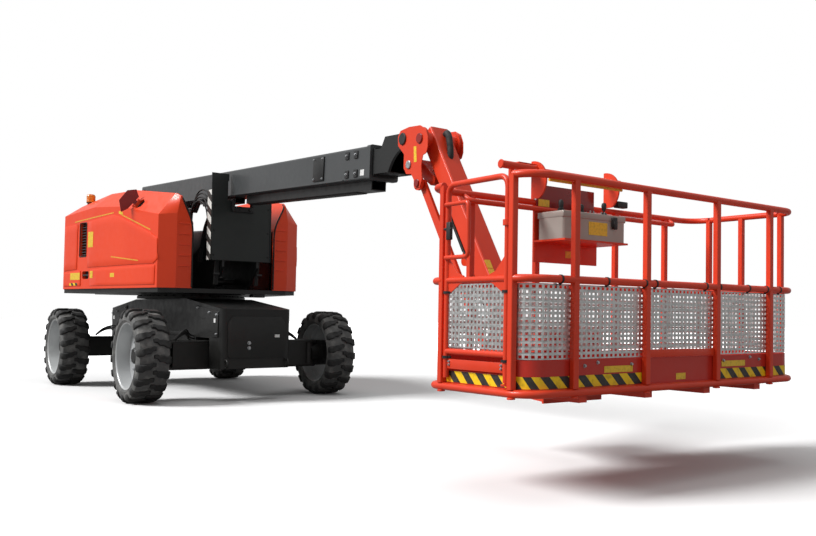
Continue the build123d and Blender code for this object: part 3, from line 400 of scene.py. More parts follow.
class Palette:
    """Every finish of the machine, made once."""

    def __init__(self) -> None:
        """Makes the materials."""
        finishes = [
            Paint("hood_orange", (244, 72, 28), (238, 66, 24), 0.34, 0.14, peel=0.02, grain=420.0),
            Paint("rail_orange", (226, 62, 28), (216, 56, 24), 0.36, 0.15, peel=0.04, dust=0.05),
            Paint("toe_red", (200, 42, 26), (188, 36, 22), 0.34, 0.3, dust=0.12),
            # dark_red also serves as painted shade on the open filler lid, which is hood paint seen in shade.
            Paint("dark_red", (142, 20, 16), (130, 17, 14), 0.3, 0.4),
            Paint("chassis_black", (19, 20, 20), (15, 16, 16), 0.45, 0.08, peel=0.06, dust=0.06),
            Paint("turntable_black", (22, 23, 23), (17, 18, 18), 0.42, 0.15, peel=0.06),
            Paint("boom_grey", (70, 72, 73), (64, 66, 67), 0.38, 0.15, peel=0.05),
            Paint("shield_grey", (34, 39, 37), (30, 34, 33), 0.38, 0.12, peel=0.04),
            Paint("rim_silver", (204, 206, 206), (188, 190, 191), 0.36, 0.2, metal=0.3, peel=0.06, dust=0.08),
            Paint("engine_grey", (92, 96, 98), (70, 73, 74), 0.5, 0.1, peel=0.2),
            Paint("case_silver", (176, 166, 158), (160, 150, 142), 0.36, 0.3, metal=0.3, peel=0.08, dust=0.0),
            Rubber("tyre_rubber", (30, 30, 30), (74, 70, 64), 0.3),
            # Sidewall rubber: a lighter copy of the tyre rubber, its pale grey and pale dust tone painted
            # light for sidewalls that face the lamp.
            Rubber("sidewall_rubber", (84, 84, 83), (156, 154, 150), 0.8),
            Rubber("hose_rubber", (22, 22, 22), (54, 52, 48), 0.3),
            Metal("zinc_sheet", (206, 207, 204), 0.36, spangle=0.4),
            Metal("zinc_bolt", (176, 178, 180), 0.4, spangle=0.2),
            Metal("chromed_rod", (222, 224, 226), 0.12, drawn=(1, 14, 14)),
            Stripes("stripes_round", Facing.ROUND, 0.094),
            Stripes("stripes_post", Facing.POST, 0.12, (232, 232, 226)),
            Film("label_yellow", (244, 200, 44)),
            Film("label_white", (236, 236, 234)),
            Film("trim_gold", (240, 176, 40), 0.3),
            Plastic("moulded_black", (20, 20, 21)),
            Plastic("tank_black", (34, 35, 36), 0.55),
            Plastic("lens_amber", (238, 120, 10), 0.18, 0.35),
            Plastic("knob_red", (196, 26, 20), 0.35),
        ]
        self.materials = {finish.name: finish.make() for finish in finishes}

    def __getitem__(self, name: str) -> bpy.types.Material:
        """The material of that name."""
        return self.materials[name]


class Bench:
    """The modelling steps that the classes share, each as done by hand."""

    def __init__(self, palette: Palette) -> None:
        """Keeps the finishes at hand."""
        self.palette = palette

    @staticmethod
    def clear() -> None:
        """Leaves edit mode and selects nothing."""
        if bpy.context.object and bpy.context.object.mode != "OBJECT":
            bpy.ops.object.mode_set(mode="OBJECT")
        bpy.ops.object.select_all(action="DESELECT")

    @classmethod
    def take(cls, *pieces: bpy.types.Object) -> None:
        """Selects these pieces alone, the first of them active."""
        cls.clear()
        for piece in pieces:
            piece.select_set(True)
        bpy.context.view_layer.objects.active = pieces[0]

    @classmethod
    def edit(cls, piece: bpy.types.Object) -> None:
        """Takes one piece into edit mode with all of it selected."""
        cls.take(piece)
        bpy.ops.object.mode_set(mode="EDIT")
        bpy.ops.mesh.select_all(action="SELECT")

    @classmethod
    def settle(cls, piece: bpy.types.Object) -> None:
        """Puts a piece's place, turn and size into its mesh."""
        cls.take(piece)
        bpy.ops.object.transform_apply(location=True, rotation=True, scale=True)

    @classmethod
    def shape(cls, piece: bpy.types.Object, kind: str, **settings: object) -> None:
        """Adds a modifier with these settings and applies it."""
        cls.take(piece)
        tool = piece.modifiers.new(kind.title(), kind)
        for key, value in settings.items():
            setattr(tool, key, value)
        bpy.ops.object.modifier_apply(modifier=tool.name)

    @classmethod
    def soften(cls, piece: bpy.types.Object, width: float, segments: int = 2) -> None:
        """Rounds a piece's sharp edges and shades its faces by angle."""
        cls.shape(piece, "BEVEL", width=width, segments=segments, limit_method="ANGLE",
                  angle_limit=BEVEL_ANGLE)
        bpy.ops.object.shade_smooth_by_angle(angle=SHADE_ANGLE)

    @classmethod
    def outward(cls, piece: bpy.types.Object) -> None:
        """Merges doubles and turns every face outward."""
        cls.edit(piece)
        bpy.ops.mesh.remove_doubles(threshold=0.00005)
        bpy.ops.mesh.normals_make_consistent(inside=False)
        bpy.ops.object.mode_set(mode="OBJECT")

    def dress(self, piece: bpy.types.Object, name: str, body: str, finish: str) -> bpy.types.Object:
        """Names a finished piece, paints it and makes it ride on its body.

        Args:
            piece: The finished mesh.
            name: Its plain name.
            body: The body that it moves with.
            finish: A finish of the palette.

        Returns:
            The piece.
        """
        piece.name = name
        piece.data.name = name
        piece.data.materials.clear()
        piece.data.materials.append(self.palette[finish])
        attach(piece, body)
        LOG.info("%s rides on %s in %s", name, body, finish)
        return piece

    @classmethod
    def join(cls, pieces: Sequence[bpy.types.Object]) -> bpy.types.Object:
        """Joins finished meshes into the first of them."""
        cls.take(*pieces)
        if len(pieces) > 1:
            bpy.ops.object.join()
        return bpy.context.object

    @classmethod
    def block(cls, low: Vector, high: Vector, edge: float = 0.003, segments: int = 2) -> bpy.types.Object:
        """A box between two corners with rounded edges."""
        cls.clear()
        bpy.ops.mesh.primitive_cube_add(size=1, location=(low + high) / 2)
        piece = bpy.context.object
        piece.scale = [abs(high[i] - low[i]) for i in range(3)]
        cls.settle(piece)
        cls.soften(piece, edge, segments)
        return piece

    @classmethod
    def bar(cls, start: Vector, end: Vector, radius: float, edge: float = 0.001,
            sides: int = 24) -> bpy.types.Object:
        """A round bar between two places with its end edges broken."""
        cls.clear()
        run = end - start
        bpy.ops.mesh.primitive_cylinder_add(vertices=sides, radius=radius, depth=run.length,
                                            location=(start + end) / 2)
        piece = bpy.context.object
        piece.rotation_mode = "QUATERNION"
        piece.rotation_quaternion = run.to_track_quat("Z", "Y")
        cls.settle(piece)
        cls.soften(piece, edge, 1)
        return piece

    @classmethod
    def turned(cls, profile: Sequence[tuple[float, float]], centre: Vector, axis: Vector,
               steps: int = 48) -> bpy.types.Object:
        """A closed profile turned about an axis.

        Args:
            profile: Places as distance along the axis and radius, in metres.
            centre: A place on the axis.
            axis: The axis's direction.
            steps: Faces round the turn.

        Returns:
            The turned mesh.
        """
        cls.clear()
        bpy.ops.mesh.primitive_circle_add(vertices=len(profile), radius=1)
        piece = bpy.context.object
        for vertex, (along, radius) in zip(piece.data.vertices, profile):
            vertex.co = (radius, 0, along)
        cls.shape(piece, "SCREW", axis="Z", angle=math.tau, steps=steps, render_steps=steps,
                  use_merge_vertices=True, merge_threshold=0.0002)
        cls.outward(piece)
        piece.rotation_mode = "QUATERNION"
        piece.rotation_quaternion = axis.to_track_quat("Z", "Y")
        piece.location = centre
        cls.settle(piece)
        bpy.ops.object.shade_smooth_by_angle(angle=SHADE_ANGLE)
        return piece

    @classmethod
    def outline(cls, corners: Sequence[Vector]) -> bpy.types.Object:
        """A flat face with these corners."""
        cls.clear()
        bpy.ops.mesh.primitive_circle_add(vertices=len(corners), radius=1, fill_type="NGON")
        piece = bpy.context.object
        for vertex, corner in zip(piece.data.vertices, corners):
            vertex.co = corner
        return piece

    @classmethod
    def plate(cls, corners: Sequence[Vector], thickness: Vector, edge: float = 0.001) -> bpy.types.Object:
        """A plate with these corners, extruded by its thickness, with broken edges."""
        piece = cls.outline(corners)
        cls.edit(piece)
        bpy.ops.mesh.extrude_region_move(TRANSFORM_OT_translate={"value": thickness})
        bpy.ops.object.mode_set(mode="OBJECT")
        cls.outward(piece)
        cls.soften(piece, edge, 2 if edge > 0.002 else 1)
        return piece

    @classmethod
    def patch(cls, node: str, corners: Sequence[Vector], axis: str, lift: float = 0.0012,
              thick: float = 0.001, cuts: int = 3, edge: float = 0.0) -> bpy.types.Object:
        """A thin piece laid on a node's skin, as a label or a pressed panel.

        Args:
            node: The node that carries it.
            corners: Its corners, in front of the skin.
            axis: The axis that it is laid down along.
            lift: Its inner face's height over the skin.
            thick: Its thickness.
            cuts: How finely it follows the skin.
            edge: The width of a chamfer round its outer face.

        Returns:
            The piece.
        """
        piece = cls.outline(corners)
        cls.edit(piece)
        if cuts:
            bpy.ops.mesh.quads_convert_to_tris()
            bpy.ops.mesh.subdivide(number_cuts=cuts)
        bpy.ops.object.mode_set(mode="OBJECT")
        cls.shape(piece, "SHRINKWRAP", target=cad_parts[node], wrap_method="PROJECT",
                  use_negative_direction=True,
                  use_positive_direction=True, offset=lift + thick, wrap_mode="ABOVE_SURFACE",
                  **{"use_project_" + axis: True})
        towards = 1.0 if piece.data.polygons[0].normal.dot(corners[0] - sum(
            (Vector(c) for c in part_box(node)), Vector()) / 2) > 0 else -1.0
        cls.shape(piece, "SOLIDIFY", thickness=thick, offset=-towards)
        cls.outward(piece)
        if edge:
            cls.shape(piece, "BEVEL", width=edge, segments=2, limit_method="ANGLE",
                      angle_limit=math.radians(60))
        cls.take(piece)
        bpy.ops.object.shade_smooth_by_angle(angle=math.radians(30))
        return piece

    @classmethod
    def tube(cls, places: Sequence[Vector], radius: float, order: int = 3) -> bpy.types.Object:
        """A bent tube or hose that follows the places on one smooth curve."""
        cls.clear()
        curve = bpy.data.curves.new("tube", "CURVE")
        curve.dimensions = "3D"
        curve.bevel_depth = radius
        curve.bevel_resolution = 4
        curve.use_fill_caps = True
        spline = curve.splines.new("NURBS")
        spline.points.add(len(places) - 1)
        for point, place in zip(spline.points, places):
            point.co = (*place, 1)
        spline.order_u = order
        spline.use_endpoint_u = True
        spline.resolution_u = 6
        piece = bpy.data.objects.new("tube", curve)
        bpy.context.collection.objects.link(piece)
        cls.take(piece)
        bpy.ops.object.convert(target="MESH")
        piece = bpy.context.object
        cls.outward(piece)
        bpy.ops.object.shade_smooth_by_angle(angle=math.radians(50))
        return piece

    @staticmethod
    def copy(master: bpy.types.Object) -> bpy.types.Object:
        """A copy of a master with a mesh of its own."""
        copy = master.copy()
        copy.data = master.data.copy()
        bpy.context.collection.objects.link(copy)
        return copy

    @classmethod
    def copies(cls, master: bpy.types.Object, places: Iterable[Matrix]) -> bpy.types.Object:
        """Copies a master to each place, joins the copies and removes the master."""
        made = []
        for place in places:
            copy = cls.copy(master)
            copy.data.transform(place)
            made.append(copy)
        bpy.data.objects.remove(master)
        return cls.join(made)

    @classmethod
    def bolt(cls, size: float) -> bpy.types.Object:
        """A hexagon bolt head on its washer, facing up +Z from the origin."""
        cls.clear()
        bpy.ops.mesh.primitive_cylinder_add(vertices=6, radius=size, depth=size * 1.1,
                                            location=(0, 0, size * 0.75))
        head = bpy.context.object
        cls.settle(head)
        cls.soften(head, size * 0.12, 1)
        washer = cls.turned([(0, size * 0.3), (0, size * 1.35), (size * 0.2, size * 1.3),
                             (size * 0.2, size * 0.3)],
                            Vector(), UP, 14)
        return cls.join([head, washer])

    @classmethod
    def bolts(cls, size: float, spots: Sequence[Vector], facing: Vector) -> bpy.types.Object:
        """Bolts at these spots that all face the same way."""
        turn = facing.to_track_quat("Z", "Y").to_matrix().to_4x4()
        return cls.copies(cls.bolt(size), [Matrix.Translation(spot) @ turn for spot in spots])


@dataclass
class Studio:
    """Floor, lamps, white surround and the camera at the photograph's place."""

    camera_place: Point = (8.354, -4.1365, 0.9815)
    yaw: float = 2.41869
    pitch: float = 0.03577
    roll: float = 0.01252
    focal: float = 882.29
    centre: tuple[float, float] = (538.0, 283.92)
    frame_size: tuple[int, int] = (816, 536)

    @staticmethod
    def rig(name: str, data: bpy.types.ID) -> bpy.types.Object:
        """Adds the object that holds a camera's or a lamp's data."""
        rig = bpy.data.objects.new(name, data)
        bpy.context.collection.objects.link(rig)
        return rig

    def camera(self) -> None:
        """Places the camera."""
        data = bpy.data.cameras.new("camera")
        data.sensor_width = 36
        data.lens = self.focal / self.frame_size[0] * 36
        data.shift_x = (self.frame_size[0] / 2 - self.centre[0]) / self.frame_size[0]
        data.shift_y = (self.centre[1] - self.frame_size[1] / 2) / self.frame_size[0]
        data.clip_end = 200
        ahead = Vector((math.cos(self.yaw) * math.cos(self.pitch), math.sin(self.yaw) * math.cos(self.pitch),
                        math.sin(self.pitch)))
        right = Vector((math.sin(self.yaw), -math.cos(self.yaw), 0))
        above = right.cross(ahead)
        turn = Matrix.Rotation(-self.roll, 3, ahead)
        rig = self.rig("camera", data)
        axes = Matrix((turn @ right, turn @ above, -ahead)).transposed()
        rig.matrix_world = Matrix.Translation(self.camera_place) @ axes.to_4x4()
        bpy.context.scene.camera = rig

    def lamp(self, name: str, place: Point, target: Point, size: float, power: float) -> None:
        """Adds a soft square lamp that points at a target."""
        data = bpy.data.lights.new(name, "AREA")
        data.size = size
        data.energy = power
        rig = self.rig(name, data)
        rig.location = place
        rig.rotation_mode = "QUATERNION"
        rig.rotation_quaternion = (Vector(target) - Vector(place)).to_track_quat("-Z", "Y")

    def sun(self, towards: Point, strength: float, spread: float) -> None:
        """Adds the even key light, which comes from a direction."""
        data = bpy.data.lights.new("key", "SUN")
        data.energy = strength
        data.angle = math.radians(spread)
        rig = self.rig("key", data)
        rig.rotation_mode = "QUATERNION"
        rig.rotation_quaternion = (-Vector(towards)).to_track_quat("-Z", "Y")

    def surround(self) -> None:
        """A plain world that shows white where it is seen or reflected."""
        world = bpy.data.worlds.new("surround")
        bpy.context.scene.world = world
        world.use_nodes = True
        nodes, links = world.node_tree.nodes, world.node_tree.links
        nodes.clear()
        path = nodes.new("ShaderNodeLightPath")
        seen = nodes.new("ShaderNodeMath")
        seen.operation = "MAXIMUM"
        links.new(path.outputs["Is Camera Ray"], seen.inputs[0])
        links.new(path.outputs["Is Transmission Ray"], seen.inputs[1])
        either = nodes.new("ShaderNodeMath")
        either.operation = "MAXIMUM"
        mirror = nodes.new("ShaderNodeMath")
        mirror.operation = "MULTIPLY"
        mirror.inputs[1].default_value = 0.35
        links.new(path.outputs["Is Glossy Ray"], mirror.inputs[0])
        links.new(seen.outputs[0], either.inputs[0])
        links.new(mirror.outputs[0], either.inputs[1])
        soft = nodes.new("ShaderNodeBackground")
        white = nodes.new("ShaderNodeBackground")
        for source, strength in ((soft, 0.24), (white, 1.0)):
            source.inputs["Color"].default_value = (1, 1, 1, 1)
            source.inputs["Strength"].default_value = strength
        mix = nodes.new("ShaderNodeMixShader")
        out = nodes.new("ShaderNodeOutputWorld")
        links.new(either.outputs[0], mix.inputs[0])
        links.new(soft.outputs[0], mix.inputs[1])
        links.new(white.outputs[0], mix.inputs[2])
        links.new(mix.outputs[0], out.inputs[0])

    def floor(self) -> None:
        """A wide pale floor that keeps the machine's shadow."""
        Bench.clear()
        bpy.ops.mesh.primitive_plane_add(size=160, location=(0, 0, -0.0015))
        ground = bpy.context.object
        ground.name = "studio_floor"
        Bench.settle(ground)
        graph = Graph("floor_white")
        pale = graph.ramp(graph.noise(0.2, 2), [(0.2, (252, 252, 252)), (0.8, (255, 255, 255))])
        grey = graph.ramp(graph.noise(0.2, 2), [(0.2, (136, 136, 136)), (0.8, (142, 142, 142))])
        path = graph.nodes.new("ShaderNodeLightPath")
        seen = graph.maths("MAXIMUM", path.outputs["Is Camera Ray"], path.outputs["Is Transmission Ray"])
        graph.feed("Base Color", graph.blend(seen, grey, pale))
        reach = graph.nodes.new("ShaderNodeVectorMath")
        reach.operation = "LENGTH"
        graph.links.new(graph.place, reach.inputs[0])
        far = graph.maths("MULTIPLY", graph.span(reach.outputs["Value"], 0.0, 1.0, 7.0, 16.0), seen)
        graph.set(Roughness=0.9, Specular_IOR_Level=0.0, Emission_Color=(1, 1, 1, 1))
        graph.feed("Emission Strength", far)
        ground.data.materials.append(graph.material)

    def build(self) -> None:
        """Sets the whole studio."""
        self.camera()
        self.surround()
        self.floor()
        self.sun((-0.45, -1.0, 0.9), 3.6, 24)
        self.lamp("top", (3, -1, 12), (1, 0, 0), 10.0, 330)
        self.lamp("front", (14, -2, 5), (2, 0, 1.2), 7.0, 70)
        bpy.context.scene.view_settings.view_transform = "Standard"


class Assembly:
    """What every sub-assembly shares: the bench, and one method that builds it."""

    def __init__(self, bench: Bench) -> None:
        """Keeps the bench."""
        self.bench = bench

    def dress(self, piece: bpy.types.Object, name: str, body: str, finish: str) -> bpy.types.Object:
        """Names and paints a finished piece that rides on a body."""
        return self.bench.dress(piece, name, body, finish)

    def build(self) -> None:
        """Builds the assembly's pieces."""
        raise NotImplementedError


class Coats(Assembly):
    """Finishes of the frame's own nodes; the open filler lid's dark red is painted shade."""

    FINISHES = {
        "chassis_black": ["chassis_frame", "front_axle", "rear_axle", "front_left_knuckle",
                          "front_right_knuckle", "slew_ring", "steering_cylinder"],
        "turntable_black": ["turntable_frame", "counterweight", "hose_tray", "mid_boom", "fly_boom",
                            "tower_fly", "tower_ram_barrel", "lift_ram_barrel", "upright", "ground_controls"],
        "shield_grey": ["front_shield"],
        "boom_grey": ["main_boom", "tower_boom"],
        "hood_orange": ["right_hood", "left_hood"],
        # The filler lid is hood paint; its dark red is painted shade for the shaded underside of the open
        # lid.
        "dark_red": ["filler_lid"],
        "rail_orange": ["jib_base", "jib_boom", "jib_link", "jib_support", "platform_bracket",
                        "platform_floor",
                        "front_railing", "back_railing", "left_railing", "side_gate", "console_tray",
                        "console_guard"],
        "toe_red": ["toe_board"],
        "rim_silver": ["front_left_rim", "front_right_rim", "rear_left_rim", "rear_right_rim"],
        "chromed_rod": ["steering_rod", "tower_ram_rod", "lift_ram_rod", "jib_ram_rod"],
        "moulded_black": ["jib_ram_barrel"],
        "tyre_rubber": ["front_left_tyre", "front_right_tyre", "rear_left_tyre", "rear_right_tyre"],
        "zinc_sheet": ["mesh_sheets"],
        "case_silver": ["console"],
        "engine_grey": ["engine"],
        "tank_black": ["tanks"],
        "lens_amber": ["beacon"],
    }

    def build(self) -> None:
        """Puts each node's finish in its material slots."""
        for finish, nodes in self.FINISHES.items():
            for name in nodes:
                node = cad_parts[name]
                for slot in node.material_slots:
                    slot.material = self.bench.palette[finish]


@dataclass
class Tread:
    """Sizes of a tyre's carcass and lugs, in metres from the wheel's middle plane."""

    crown: float = 0.476
    lug: float = 0.024
    lugs: int = 18
    profile: tuple[tuple[float, float], ...] = (
        (0.0, 0.476), (0.118, 0.475), (0.146, 0.462), (0.158, 0.438), (0.164, 0.404), (0.1625, 0.385))
    sections: tuple[tuple[float, float, float, float], ...] = (
        (-0.014, 0.010, 0.020, 1.0), (0.022, 0.010, 0.026, 1.0), (0.044, -0.012, 0.034, 1.0),
        (0.088, -0.014, 0.036, 1.0),
        (0.116, -0.028, 0.042, 1.0), (0.142, -0.030, 0.044, 0.98), (0.168, -0.031, 0.045, 0.8),
        (0.204, -0.032, 0.034, 0.3))

    def point(self, reach: float) -> tuple[Vector, Vector]:
        """The carcass's outline at a reach from its middle, and its outward direction there."""
        left = abs(reach)
        for (y0, r0), (y1, r1) in zip(self.profile, self.profile[1:]):
            run = math.hypot(y1 - y0, r1 - r0)
            if left <= run or (y1, r1) == self.profile[-1]:
                share = left / run
                spot = Vector((y0 + (y1 - y0) * share, r0 + (r1 - r0) * share))
                return spot, Vector((r0 - r1, y1 - y0)).normalized()
            left -= run
        raise ValueError(reach)


class Wheels(Assembly):
    """Four treaded tyres, and the bead rings, nuts and valves of their rims."""

    tread = Tread()
    axles = {"front": 1500.0, "rear": -1500.0}
    track = 2150.0
    hub_height = 500.0
    nuts = 9
    nut_circle = 0.165
    rim_face = 0.0262

    def lug(self) -> bpy.types.Object:
        """One tapered lug, lying flat: reach along X, round the tyre along Y, height along Z."""
        sections = self.tread.sections
        Bench.clear()
        bpy.ops.mesh.primitive_grid_add(x_subdivisions=len(sections) - 1, y_subdivisions=1, size=2)
        lug = bpy.context.object
        for vertex in lug.data.vertices:
            number = round((vertex.co.x + 1) / 2 * (len(sections) - 1))
            reach, shift, half, _ = sections[number]
            vertex.co = (reach, shift + half * (1 if vertex.co.y > 0 else -1), -0.004)
        Bench.edit(lug)
        bpy.ops.mesh.extrude_region_move(TRANSFORM_OT_translate={"value": (0, 0, 1)})
        bpy.ops.object.mode_set(mode="OBJECT")
        for vertex in lug.data.vertices:
            if vertex.co.z > 0.5:
                reach, shift, half, height = min(sections, key=lambda s: abs(s[0] - vertex.co.x))
                vertex.co.y = shift + (vertex.co.y - shift) * 0.8
                vertex.co.x += 0.005 if reach == sections[0][0] else 0.0
                vertex.co.z = self.tread.lug * height
        Bench.outward(lug)
        Bench.soften(lug, 0.003, 1)
        return lug

    def ring_of_lugs(self) -> bpy.types.Object:
        """Both rows of lugs, wrapped round the carcass about the Y axis at the origin."""
        master = self.lug()
        flat = [vertex.co.copy() for vertex in master.data.vertices]
        step = math.tau / self.tread.lugs
        made = []
        for number in range(self.tread.lugs):
            for hand in (1, -1):
                copy = Bench.copy(master)
                start = step * (number + (0.5 if hand < 0 else 0.0))
                for vertex, place in zip(copy.data.vertices, flat):
                    spot, out = self.tread.point(place.x)
                    side = -spot.x if place.x < 0 else spot.x
                    reach = side + out.x * place.z
                    radius = spot.y + out.y * place.z
                    turn = start + place.y / self.tread.crown
                    vertex.co = (radius * math.cos(turn), hand * reach, radius * math.sin(turn))
                made.append(copy)
        bpy.data.objects.remove(master)
        ring = Bench.join(made)
        Bench.outward(ring)
        bpy.ops.object.shade_smooth_by_angle(angle=SHADE_ANGLE)
        return ring

    def carcass(self, hub: Vector) -> bpy.types.Object:
        """The tyre's body with its shoulders, sidewall rings and beads."""
        half = [(y, r) for y, r in self.tread.profile] + [
            (0.1655, 0.383), (0.1655, 0.378), (0.161, 0.374), (0.158, 0.366), (0.148, 0.3535),
            (0.134, 0.3505)]
        inner = [(0.12, 0.352), (0.06, 0.3515), (0.0, 0.3515)]
        shape = half + inner
        closed = shape + [(-y, r) for y, r in reversed(shape) if y > 0.0001]
        return Bench.turned(closed, hub, Vector((0, 1, 0)), 72)

    def wheel(self, end: str, hand: Hand) -> None:
        """Dresses one wheel."""
        name = f"{end}_{hand.side}"
        body = f"{name}_wheel"
        hub = at(self.axles[end], hand.value * self.track / 2, self.hub_height)
        carcass = self.carcass(hub)
        # The carcass takes the pale sidewall rubber, whose paleness is painted light.
        self.dress(carcass, f"{name}_carcass", body, "sidewall_rubber")
        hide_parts(f"{name}_tyre")
        lugs = self.ring_of_lugs()
        lugs.data.transform(Matrix.Translation(hub))
        self.dress(lugs, f"{name}_lugs", body, "tyre_rubber")
        outer = Vector((0, hand.value, 0))
        bead = Bench.turned([(0.128, 0.338), (0.128, 0.3495), (0.139, 0.3515), (0.146, 0.358), (0.149, 0.354),
                             (0.146, 0.346), (0.139, 0.3395)], hub, outer, 72)
        self.dress(bead, f"{name}_bead_ring", body, "rim_silver")
        ring = [hub + Vector((self.nut_circle * math.cos(a), hand.value * self.rim_face,
                              self.nut_circle * math.sin(a)))
                for a in [math.tau * n / self.nuts for n in range(self.nuts)]]
        nuts = Bench.bolts(0.016, ring, outer)
        self.dress(nuts, f"{name}_nuts", body, "zinc_bolt")
        plate = Bench.turned([(0.0262, 0.128), (0.0262, 0.196), (0.031, 0.193), (0.033, 0.186),
                              (0.033, 0.136), (0.031, 0.129)], hub, outer, 48)
        self.dress(plate, f"{name}_nut_ring", body, "rim_silver")
        lean = Vector((math.cos(0.6), 0, math.sin(0.6)))
        stem = Bench.bar(hub + lean * 0.325 + outer * 0.045, hub + lean * 0.305 + outer * 0.085, 0.006,
                         0.001, 12)
        self.dress(stem, f"{name}_valve", body, "moulded_black")

    def build(self) -> None:
        """Dresses all four wheels."""
        for end in self.axles:
            for hand in Hand:
                self.wheel(end, hand)


def rounded(corners: Sequence[Vector], radius: float) -> list[Vector]:
    """Adds the places beside each inner corner that give a bent tube its radius."""
    places = [corners[0]]
    for before, corner, after in zip(corners, corners[1:], corners[2:]):
        places += [corner + (before - corner).normalized() * 2 * radius, corner,
                   corner + (after - corner).normalized() * 2 * radius]
    return places + [corners[-1]]


@dataclass
class Basket:
    """Sizes of the platform in plan, in millimetres from its middle."""

    middle: float = 7518.2
    half_depth: float = 458.5
    half_length: float = 1219.0
    corner: float = 150.0
    floor: float = 597.0
    sheet_low: float = 752.0
    sheet_high: float = 1148.0
    hole: float = 0.0155
    sheet: float = 0.002
    posts: tuple[float, ...] = (0.0, 377.0, 946.0, 1598.0, 2167.0, 2560.0, 3145.0, 3532.0, 4062.0, 4802.0,
                                5332.0, 5703.0)

    def wrap(self, run: float, inset: float) -> tuple[float, float]:
        """The place on the platform's outline after a run from the gate's front post.

        Args:
            run: Distance along the sheet line, in millimetres.
            inset: Distance inside the rails' line.

        Returns:
            The place's x and y from the slew axis.
        """
        radius = self.corner - 21
        bend = radius * math.pi / 2
        depth, length = 2 * (self.half_depth - self.corner), 2 * (self.half_length - self.corner)
        centres = ((1, -1, -90), (1, 1, 0), (-1, 1, 90), (-1, -1, 180))
        for (sx, sy, start), straight in zip(centres, (length, depth, length, depth)):
            centre = (sx * depth / 2, sy * length / 2)
            reach = self.corner - inset
            if run <= bend:
                turn = math.radians(start) + run / radius
                return (self.middle + centre[0] + reach * math.cos(turn), centre[1] + reach * math.sin(turn))
            run -= bend
            if run <= straight:
                turn = math.radians(start + 90)
                ahead = (-math.sin(turn), math.cos(turn))
                return (self.middle + centre[0] + reach * math.cos(turn) + run * ahead[0],
                        centre[1] + reach * math.sin(turn) + run * ahead[1])
            run -= straight
        return self.wrap(0.0, inset)


